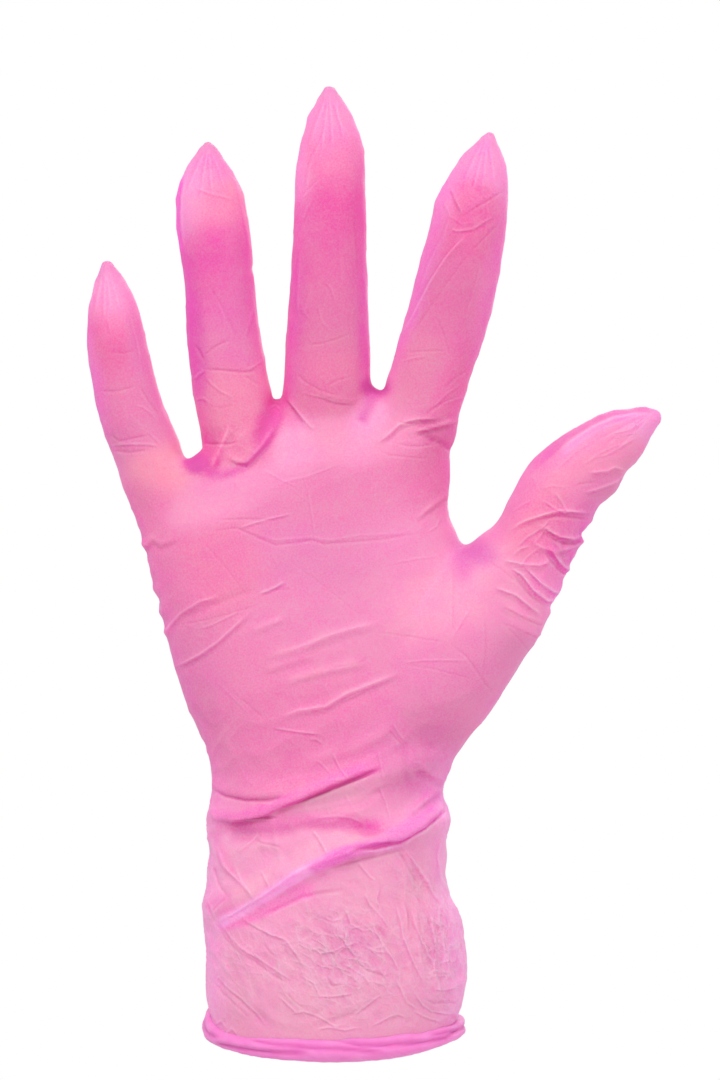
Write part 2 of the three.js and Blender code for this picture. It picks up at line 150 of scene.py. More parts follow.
# Long diagonals and crumples of the loose cuff: route, height and reach in millimetres.
CUFF_CREASES = [
    [[(206, 928), (214, 950), (225, 967), (240, 982)], 0.35, 0.7],
    [[(216, 934), (232, 949), (251, 960), (277, 976), (307, 990)], -0.22, 0.6],
    [[(236, 915), (260, 926), (282, 939), (300, 960)], 0.35, 0.6],
    [[(218, 974), (227, 990), (244, 1003), (262, 1018), (278, 1033)], -0.3, 0.7],
    [[(282, 939), (287, 955), (296, 968)], -0.25, 0.5],
    [[(316, 946), (327, 956), (349, 951), (366, 962)], -0.25, 0.6],
    [[(306, 917), (331, 919), (345, 912), (362, 917)], -0.3, 0.6],
    [[(330, 997), (347, 998), (366, 990)], -0.22, 0.7],
    [[(317, 974), (320, 986), (330, 984)], -0.22, 0.6],
    [[(292, 1017), (312, 1017), (324, 1007), (330, 1000)], -0.35, 0.7],
    [[(301, 1028), (319, 1026), (343, 1017), (366, 1008), (378, 998)], -0.35, 0.6],
    [[(345, 955), (352, 975), (362, 992)], 0.3, 0.6],
    [[(352, 948), (368, 966), (384, 975)], 0.3, 0.6],
    [[(375, 919), (390, 937), (403, 954), (415, 982)], 0.3, 0.6],
    [[(362, 897), (376, 912), (383, 930), (392, 948)], 0.3, 0.6],
    [[(398, 896), (400, 915), (396, 930)], -0.3, 0.6],
    [[(413, 893), (416, 923), (419, 954), (425, 984)], 0.45, 0.7],
    [[(410, 895), (424, 910), (437, 925), (446, 922)], 0.35, 0.6],
    [[(434, 915), (432, 945), (436, 975)], 0.3, 0.7],
    [[(433, 985), (445, 988), (458, 984), (467, 976)], 0.45, 0.8],
    [[(430, 985), (442, 1000), (452, 1012), (461, 1020)], 0.4, 0.6],
    [[(416, 1000), (430, 1009), (440, 1014)], -0.3, 0.6],
    [[(436, 1022), (450, 1013), (462, 1016)], 0.35, 0.6],
    [[(278, 985), (290, 996), (300, 1010)], 0.25, 0.6],
    [[(345, 1036), (352, 1040), (360, 1037)], -0.3, 0.6],
    [[(388, 1022), (400, 1017), (415, 1024)], -0.25, 0.6],
    [[(254, 853), (272, 849), (282, 853), (294, 858)], -0.35, 0.8],
    [[(240, 853), (248, 846), (257, 834)], 0.25, 0.5],
    [[(213, 846), (226, 868), (243, 885), (255, 899)], 0.3, 0.6],
    [[(212, 862), (220, 885), (230, 898)], -0.3, 0.7],
    [[(313, 830), (322, 842), (328, 855)], 0.25, 0.45],
    [[(398, 846), (410, 858), (425, 879), (436, 897)], 0.4, 0.8],
    [[(440, 835), (436, 858), (441, 878)], 0.3, 0.7],
    [[(345, 880), (356, 882), (368, 893)], -0.3, 0.6],
    [[(270, 868), (278, 876), (286, 873)], 0.2, 0.5],
]

# Where the folds go on round the back of the glove, charted as if seen through it from the palm's side.
BACK_FOLDS = [
    ["height", "gentle", "steep", "groove", "lean", "route"],
    [1.3, 1.8, 1.0, 0.8, 0.4, [(203, 926), (232, 905), (275, 880), (318, 868), (352, 846), (398, 836),
     (452, 804)]],
    [1.0, 2.2, 0.9, 0.7, 0.3, [(206, 810), (238, 822), (284, 812), (330, 800), (372, 806), (410, 796),
     (448, 782)]],
    [0.8, 1.8, 1.0, 0.5, 0.2, [(210, 784), (246, 772), (290, 782), (336, 766), (380, 770)]],
    [-0.9, 2.0, 2.0, 0.0, 0.0, [(230, 850), (280, 842), (330, 832), (380, 822), (420, 812)]],
    [0.5, 1.6, 1.2, 0.3, 0.0, [(238, 700), (280, 716), (330, 708), (378, 720)]],
    [0.45, 1.6, 1.2, 0.3, 0.0, [(262, 652), (300, 668), (352, 660), (400, 676)]],
    [0.4, 1.4, 1.1, 0.2, 0.0, [(180, 640), (206, 622), (240, 616), (282, 604)]],
    [0.4, 1.3, 1.1, 0.2, 0.0, [(398, 560), (430, 585), (470, 600), (510, 596)]],
    [0.4, 1.0, 0.8, 0.2, 0.0, [(226, 925), (262, 945), (290, 976), (312, 1015)]],
    [0.4, 1.0, 0.8, 0.2, 0.0, [(338, 890), (352, 930), (392, 960), (402, 1006)]],
    [0.45, 0.9, 0.8, 0.2, 0.0, [(404, 880), (416, 920), (436, 955), (440, 1000)]],
]

# The creases over the back of each finger's joints: middle u and v, half width in u, tilt in v.
KNUCKLE_CREASES = [
    (121, 372, 24, 4), (118, 362, 20, 4), (146, 452, 28, 6),
    (221, 300, 30, 4), (219, 288, 26, 4), (226, 384, 32, 3),
    (330, 282, 33, 0), (330, 269, 28, 0), (328, 372, 36, 0),
    (450, 300, 32, -8), (453, 288, 28, -8), (428, 398, 36, -8),
    (590, 470, 20, 14), (596, 460, 18, 12),
]
KNUCKLE_CREASE = {"height": -0.35, "gentle": 0.9, "steep": 0.9, "groove": -0.15, "lean": 0.0}
KNUCKLE_SAG = 3
# A cuff crease's groove as a share of its height, and how many reaches below its ridge a groove lies.
CUFF_GROOVE_SHARE = 0.35
GROOVE_OFFSET = 1.7
FOLD_REACHES = 3
# The shares of a fold's length over which it fades in from its end.
FOLD_END = (-0.02, 0.2)

# Sharp thin creases of the taut film: route, height and width in millimetres, less than 0 for a nick.
FINE_CREASES = [
    # Where the wrist fold and the doubled band tuck under themselves.
    [[(212, 788), (225, 796), (245, 800), (268, 800), (288, 795)], -0.28, 0.42],
    [[(288, 805), (301, 801), (322, 793), (343, 784), (364, 776), (384, 767)], -0.5, 0.5],
    [[(232, 819), (252, 818), (280, 817)], -0.3, 0.4],
    [[(353, 850), (375, 848), (401, 843), (421, 831), (436, 818), (451, 808)], -0.45, 0.45],
    [[(322, 871), (349, 864), (367, 859), (393, 852), (410, 847)], -0.2, 0.42],
    [[(210, 926), (232, 914), (251, 901), (270, 889), (290, 875), (319, 860), (349, 846)], 0.14, 0.4],
    [[(300, 871), (322, 861), (349, 851), (372, 841), (396, 838)], 0.12, 0.4],
    [[(260, 917), (280, 907), (301, 897), (325, 892), (349, 889)], -0.2, 0.6],
    [[(196, 533), (237, 528), (275, 545), (301, 542), (312, 540), (324, 544), (383, 539),
     (432, 531)], -0.12, 0.4],
    [[(238, 527), (276, 540), (311, 537), (330, 540), (361, 535), (399, 533), (430, 528)], 0.08, 0.4],
    [[(214, 520), (245, 519), (272, 520), (290, 515)], -0.1, 0.38],
    [[(236, 529), (257, 522), (274, 518), (294, 513)], 0.2, 0.42],
    [[(201, 540), (218, 558), (232, 575), (253, 604)], -0.05, 0.35],
    [[(284, 557), (311, 576), (345, 603), (368, 622)], -0.04, 0.35],
    [[(177, 625), (206, 620), (232, 613), (258, 605)], -0.08, 0.35],
    [[(198, 629), (212, 625), (226, 618), (241, 610)], 0.14, 0.36],
    [[(172, 668), (186, 662), (201, 654), (218, 642), (234, 627), (252, 610)], 0.2, 0.42],
    [[(258, 594), (272, 589), (286, 581)], 0.3, 0.45],
    [[(264, 590), (277, 590), (291, 589)], -0.08, 0.35],
    [[(373, 632), (390, 634), (407, 636), (428, 640), (450, 642)], -0.07, 0.35],
    [[(400, 663), (425, 660), (446, 660), (471, 660)], 0.12, 0.35],
    [[(404, 665), (430, 668), (458, 675), (482, 682)], -0.06, 0.35],
    [[(449, 642), (466, 656), (478, 672), (484, 682), (496, 697)], -0.08, 0.38],
    [[(484, 612), (485, 632), (485, 653), (482, 681)], -0.06, 0.35],
    [[(452, 637), (460, 624), (472, 606)], 0.1, 0.35],
    [[(453, 560), (453, 600), (452, 636)], -0.07, 0.3],
    [[(486, 560), (505, 572), (522, 588)], -0.08, 0.35],
    [[(500, 620), (520, 640), (535, 660)], -0.06, 0.35],
    [[(391, 563), (420, 558), (440, 556)], 0.07, 0.35],
    [[(427, 532), (436, 527), (440, 517)], 0.1, 0.35],
    [[(379, 450), (389, 455), (410, 457), (430, 459)], -0.08, 0.35],
    [[(272, 486), (290, 480), (306, 477), (322, 471), (340, 464)], 0.09, 0.35],
    [[(262, 469), (280, 479), (299, 487)], 0.08, 0.35],
    [[(302, 470), (308, 490), (312, 512), (316, 540)], 0.07, 0.3],
    [[(270, 727), (295, 731), (312, 733), (323, 733)], 0.2, 0.4],
    [[(276, 718), (299, 710), (326, 706), (345, 694), (368, 685), (402, 671)], 0.16, 0.5],
    [[(163, 635), (169, 628), (180, 614), (199, 602), (220, 596)], 0.16, 0.4],
    [[(280, 652), (303, 646), (330, 635), (357, 627), (384, 621)], 0.1, 0.5],
    [[(309, 739), (316, 739), (323, 744)], 0.14, 0.35],
    [[(331, 750), (336, 760), (342, 771), (349, 780)], 0.16, 0.35],
    [[(316, 759), (324, 766), (333, 776)], 0.12, 0.35],
    [[(392, 722), (398, 732), (406, 742)], 0.14, 0.35],
    [[(388, 730), (396, 738), (403, 745)], -0.12, 0.35],
    [[(378, 750), (382, 768), (384, 782)], 0.1, 0.35],
    [[(231, 690), (250, 706), (268, 722)], -0.06, 0.35],
    [[(216, 680), (236, 700), (252, 716)], 0.06, 0.35],
    [[(340, 702), (352, 697), (364, 691)], 0.09, 0.35],
    [[(330, 668), (356, 664), (372, 656)], -0.07, 0.4],
    [[(319, 780), (345, 779), (372, 773)], 0.07, 0.4],
    [[(345, 793), (352, 806), (360, 816)], 0.08, 0.35],
    [[(378, 784), (386, 802), (392, 824)], 0.14, 0.35],
    [[(313, 818), (338, 816), (351, 818), (366, 824)], 0.14, 0.4],
    [[(252, 838), (262, 843), (277, 846), (285, 851)], -0.14, 0.4],
    [[(312, 829), (320, 840), (328, 855)], 0.2, 0.4],
    [[(238, 853), (247, 845), (257, 834)], 0.16, 0.35],
    [[(234, 862), (243, 882), (255, 899)], 0.14, 0.35],
    [[(262, 871), (266, 880), (270, 887)], 0.16, 0.35],
    [[(358, 862), (366, 872), (376, 882)], 0.18, 0.35],
    # The long thumb creases and the fine ones between the gathers.
    [[(507, 531), (526, 521), (545, 514), (561, 510), (580, 511), (594, 512)], 0.22, 0.4],
    [[(540, 520), (556, 516), (572, 517), (590, 519)], -0.18, 0.4],
    [[(542, 499), (553, 507), (565, 513), (572, 508)], 0.22, 0.4],
    [[(555, 492), (563, 503), (567, 513)], 0.2, 0.38],
    [[(515, 549), (526, 538), (542, 528), (553, 516)], 0.2, 0.38],
    [[(532, 545), (543, 533), (556, 524)], 0.12, 0.38],
    [[(541, 524), (550, 531), (560, 536), (572, 537), (584, 534)], 0.22, 0.38],
    [[(548, 537), (562, 543), (574, 543), (586, 539)], -0.2, 0.38],
    [[(548, 546), (555, 556), (561, 564), (572, 573)], 0.22, 0.38],
    [[(544, 552), (552, 562), (560, 571), (570, 577)], -0.18, 0.38],
    [[(503, 560), (522, 564), (538, 565), (551, 560)], 0.2, 0.38],
    [[(508, 566), (522, 574), (533, 589), (546, 599), (558, 600)], 0.2, 0.38],
    [[(524, 566), (540, 582), (553, 591), (563, 594)], 0.2, 0.38],
    [[(512, 574), (520, 584), (532, 597), (546, 606)], -0.16, 0.38],
    [[(492, 586), (515, 594), (530, 606), (543, 615)], 0.16, 0.38],
    [[(500, 606), (522, 617), (538, 624), (548, 625)], -0.14, 0.38],
    [[(512, 556), (520, 549), (530, 546)], 0.16, 0.38],
    [[(518, 568), (528, 556), (540, 547)], 0.14, 0.38],
    [[(574, 551), (572, 560), (574, 570)], 0.16, 0.38],
    [[(500, 622), (520, 630), (542, 640)], -0.08, 0.38],
    [[(582, 493), (595, 489), (611, 483), (624, 475)], 0.2, 0.38],
    [[(588, 473), (600, 471), (607, 471), (613, 467), (626, 469)], 0.18, 0.38],
    [[(575, 485), (585, 483), (600, 481)], -0.1, 0.38],
    [[(540, 490), (552, 485), (566, 488)], 0.08, 0.38],
    [[(580, 467), (600, 453), (614, 446), (630, 442)], 0.1, 0.38],
    [[(590, 459), (606, 455), (622, 446), (638, 436)], 0.12, 0.38],
    [[(607, 435), (620, 432), (631, 429), (640, 420)], 0.14, 0.38],
    [[(556, 470), (575, 452), (592, 441)], 0.1, 0.38],
    [[(553, 457), (572, 442), (593, 428), (613, 419), (638, 415), (654, 414)], 0.13, 0.45],
    [[(512, 512), (520, 506), (531, 500)], 0.1, 0.35],
    # The index finger.
    [[(408, 340), (427, 312), (443, 288), (460, 265), (472, 250)], -0.07, 0.40],
    [[(402, 338), (414, 314), (428, 286), (444, 260), (456, 245), (470, 233)], 0.12, 0.38],
    [[(450, 186), (456, 200), (464, 216)], 0.14, 0.38],
    [[(444, 200), (450, 216), (462, 224), (478, 222)], 0.08, 0.38],
    [[(446, 229), (458, 231), (473, 229), (484, 222), (496, 215)], 0.2, 0.4],
    [[(464, 216), (478, 206), (492, 198), (506, 189)], -0.14, 0.38],
    [[(470, 252), (484, 238), (497, 224)], -0.1, 0.35],
    [[(400, 362), (412, 358), (428, 356)], 0.1, 0.35],
    [[(404, 352), (428, 351), (448, 350)], -0.08, 0.38],
    [[(432, 408), (446, 394), (463, 382)], 0.1, 0.35],
    [[(422, 416), (440, 404), (460, 394)], -0.1, 0.35],
    [[(444, 388), (456, 377), (468, 368)], -0.08, 0.35],
    [[(397, 421), (406, 423), (416, 422)], -0.14, 0.35],
    [[(416, 431), (426, 426), (440, 423), (455, 418)], 0.14, 0.38],
    [[(397, 444), (409, 446), (421, 446), (437, 443)], -0.12, 0.38],
    [[(440, 404), (453, 400), (463, 396)], 0.09, 0.35],
    # The middle finger.
    [[(325, 127), (321, 142), (314, 156), (309, 170), (306, 196)], 0.1, 0.38],
    [[(337, 98), (338, 116), (343, 128), (350, 134)], 0.1, 0.38],
    [[(322, 178), (312, 188), (302, 199)], 0.1, 0.38],
    [[(302, 302), (304, 312), (312, 321)], 0.08, 0.36],
    [[(326, 281), (332, 290), (336, 303)], 0.08, 0.36],
    [[(312, 288), (307, 302), (304, 316)], 0.07, 0.36],
    [[(305, 345), (324, 343), (340, 338), (352, 332)], -0.08, 0.38],
    [[(296, 372), (306, 382), (320, 390), (342, 397)], -0.1, 0.38],
    [[(300, 392), (318, 396), (336, 402), (352, 403)], 0.12, 0.38],
    [[(286, 396), (296, 409), (305, 420), (312, 428), (318, 427)], 0.18, 0.4],
    [[(325, 386), (338, 380), (352, 376)], -0.07, 0.38],
    # The ring finger.
    [[(192, 186), (206, 192), (220, 196), (236, 200)], 0.14, 0.38],
    [[(204, 356), (213, 348), (224, 342), (232, 340)], -0.12, 0.38],
    [[(203, 369), (222, 370), (242, 372), (258, 370)], -0.18, 0.4],
    [[(204, 373), (212, 384), (222, 392), (234, 397)], 0.12, 0.38],
    [[(194, 380), (199, 374), (205, 370)], 0.2, 0.4],
    [[(196, 344), (201, 353), (205, 361)], -0.14, 0.38],
    [[(245, 372), (254, 366), (262, 360)], 0.12, 0.38],
    [[(243, 374), (252, 380), (260, 386)], -0.1, 0.38],
    [[(244, 340), (249, 322), (254, 302)], 0.09, 0.38],
    [[(208, 405), (221, 408), (236, 404)], -0.07, 0.38],
    [[(196, 399), (204, 398), (210, 403)], 0.14, 0.38],
    [[(202, 443), (214, 444), (228, 444), (240, 441)], -0.2, 0.42],
    [[(226, 457), (236, 464), (246, 466), (256, 456), (270, 441)], -0.18, 0.42],
    [[(229, 420), (227, 432), (223, 446), (216, 460)], 0.14, 0.38],
    [[(258, 300), (262, 322), (267, 345)], 0.08, 0.35],
    [[(268, 408), (276, 406), (282, 411)], 0.2, 0.4],
    # The little finger.
    [[(112, 445), (128, 444), (146, 444), (161, 446)], 0.18, 0.4],
    [[(109, 433), (120, 441), (134, 438), (150, 435)], -0.12, 0.38],
    [[(112, 450), (130, 452), (150, 450)], -0.14, 0.45],
    [[(139, 384), (146, 397), (152, 406), (159, 416)], -0.12, 0.36],
    [[(134, 405), (143, 407), (151, 413), (158, 421)], 0.12, 0.36],
    [[(112, 352), (124, 353), (134, 351)], -0.08, 0.36],
    [[(98, 391), (118, 391), (139, 385)], -0.1, 0.4],
    [[(146, 430), (154, 437), (162, 446)], 0.1, 0.36],
    # The crumpled cuff.
    [[(217, 921), (225, 938), (239, 952), (257, 963), (276, 977), (298, 989)], -0.10, 0.42],
    [[(219, 918), (229, 935), (242, 948), (260, 959), (279, 972), (300, 985)], 0.16, 0.38],
    [[(242, 919), (257, 927), (273, 935), (286, 939), (298, 956), (303, 966)], 0.20, 0.38],
    [[(214, 971), (223, 983), (242, 999), (257, 1014), (270, 1030)], 0.16, 0.38],
    [[(211, 978), (222, 992), (238, 1006), (252, 1020)], -0.12, 0.40],
    [[(342, 906), (348, 914), (351, 924), (364, 931), (370, 930)], 0.20, 0.36],
    [[(310, 947), (320, 953), (336, 950), (345, 945), (361, 942)], 0.20, 0.36],
    [[(370, 920), (379, 936), (386, 949), (395, 961), (401, 974)], 0.20, 0.38],
    [[(395, 899), (401, 921), (403, 936), (411, 955), (420, 974), (426, 986)], 0.22, 0.38],
    [[(411, 905), (414, 924), (423, 942), (432, 961), (436, 975)], 0.22, 0.38],
    [[(428, 908), (432, 927), (436, 949), (434, 967)], 0.20, 0.38],
    [[(404, 900), (408, 916), (408, 934)], -0.16, 0.38],
    [[(445, 923), (442, 936), (445, 955), (441, 972)], 0.16, 0.38],
    [[(395, 977), (401, 989), (407, 1002), (420, 1011)], 0.18, 0.36],
    [[(414, 992), (423, 1005), (432, 1011), (454, 1014)], 0.24, 0.36],
    [[(414, 1011), (426, 1017), (442, 1022)], 0.18, 0.36],
    [[(422, 998), (434, 1003), (448, 1001), (458, 1004)], -0.18, 0.36],
    [[(432, 989), (445, 989), (457, 986)], 0.20, 0.36],
    [[(289, 1014), (304, 1011), (320, 1017), (336, 1027), (345, 1022)], 0.18, 0.36],
    [[(279, 996), (289, 1005), (298, 1014)], 0.16, 0.36],
    [[(286, 992), (296, 1003), (306, 1009)], -0.14, 0.36],
    [[(298, 974), (314, 983), (320, 996), (336, 996), (357, 992)], 0.20, 0.36],
    [[(326, 974), (332, 986), (344, 984)], -0.20, 0.36],
    [[(348, 927), (345, 942), (354, 955), (367, 958)], 0.20, 0.36],
    [[(364, 946), (376, 952), (389, 952)], 0.16, 0.36],
    [[(340, 962), (352, 968), (364, 976), (372, 988)], 0.18, 0.36],
    [[(356, 962), (368, 971), (382, 975), (390, 986)], -0.16, 0.36],
    [[(382, 914), (376, 899), (379, 886)], 0.16, 0.36],
    [[(364, 892), (370, 905), (382, 917), (390, 930)], 0.20, 0.36],
    [[(322, 916), (333, 921), (344, 918)], 0.16, 0.36],
    [[(318, 926), (330, 934), (342, 934)], -0.14, 0.36],
    [[(229, 899), (221, 906), (214, 914)], 0.14, 0.36],
    [[(209, 899), (214, 911), (218, 921)], 0.14, 0.36],
    [[(370, 1027), (389, 1017), (398, 1014), (408, 1018)], 0.16, 0.36],
    [[(314, 1030), (329, 1027), (345, 1030), (361, 1027)], 0.16, 0.36],
    [[(352, 1016), (366, 1006), (378, 996), (386, 994)], 0.18, 0.36],
    [[(214, 1026), (222, 1020), (226, 1030)], 0.16, 0.36],
    [[(224, 1036), (232, 1028), (238, 1036)], 0.12, 0.36],
    [[(262, 940), (270, 952), (284, 962)], -0.10, 0.36],
    [[(402, 845), (412, 860), (425, 880), (435, 896), (446, 908)], 0.22, 0.40],
    [[(397, 848), (406, 866), (418, 884)], -0.14, 0.40],
    [[(440, 838), (437, 858), (441, 878), (449, 894)], 0.16, 0.38],
    [[(216, 842), (226, 866), (243, 885), (254, 898)], 0.16, 0.38],
    [[(212, 862), (219, 884), (229, 898)], -0.14, 0.38],
    # Long faint ones down the fingers.
    [[(187, 174), (182, 198), (182, 225), (186, 256)], 0.12, 0.36],
    [[(222, 167), (236, 182), (242, 208), (247, 234), (251, 258)], 0.09, 0.36],
    [[(205, 278), (220, 302), (232, 326), (236, 344)], -0.06, 0.40],
    [[(214, 286), (222, 312), (226, 334)], 0.05, 0.36],
    [[(302, 221), (307, 210), (312, 201)], 0.10, 0.36],
    [[(339, 226), (341, 260), (342, 290)], 0.06, 0.36],
    [[(353, 206), (355, 240), (357, 278)], -0.06, 0.36],
    [[(300, 250), (299, 285), (298, 320)], 0.08, 0.36],
    [[(318, 302), (322, 322), (334, 334)], 0.06, 0.36],
    [[(356, 300), (350, 322), (354, 346)], 0.06, 0.36],
    [[(110, 300), (108, 318), (112, 338)], 0.07, 0.36],
    [[(128, 310), (136, 338), (142, 366)], 0.07, 0.36],
    [[(452, 212), (444, 236), (430, 262), (420, 290)], 0.08, 0.36],
    [[(486, 190), (488, 214), (484, 240)], 0.07, 0.36],
    [[(482, 262), (474, 290), (466, 318)], 0.06, 0.36],
    [[(436, 316), (444, 334), (450, 356)], -0.06, 0.36],
]

# The streaks that run down from each pointed tip: the tip, the way down in degrees from straight down,
# and their length and spread in chart steps.
TIP_STREAKS = [
    ["u", "v", "down", "length", "spread"],
    [106, 263, 4, 62, 16],
    [209, 146, 0, 58, 24],
    [330, 91, 0, 66, 22],
    [488, 135, -8, 66, 20],
    [656, 412, -58, 70, 16],
]
# The streaks of one tip: how far aside each runs as a share of the spread, the share of the length at
# which it starts, and its height in millimetres.
STREAKS_OF_A_TIP = [
    ["aside", "start", "height"],
    [-0.9, 0.1, 0.10],
    [-0.35, 0.05, 0.13],
    [0.15, 0.08, 0.12],
    [0.7, 0.1, 0.10],
]
# The places along a streak after its start, how much shorter a streak is the farther it lies aside of
# the longest one, and how its spreading slows on the way down.
STREAK_SHARES = (0.35, 0.7, 1.0)
STREAK_SHORTENING = 0.25
LONGEST_STREAK_ASIDE = -0.2
STREAK_SLOWING = 0.3
STREAK_WIDTH_MM = 0.42
CREST_WIDTH_MM = 0.36

# How the fine creases are kept on the mesh for the material: in a few layers, each with the distance
# across the nearest crease in crease widths, up to a farthest one.
CREASE_LAYERS = 4
CREASE_ZONE_MM = 1.9
CREASE_CORE_MM = 0.6 * CREASE_ZONE_MM
CREASE_REACH_MM = 1.8 * CREASE_ZONE_MM
CREASE_END_SHARE = 0.22
CREASE_FAR_WIDTHS = 4.0
CREASE_SHADOW_WIDTHS = 1.6
CREASE_FINENESS = 0.86

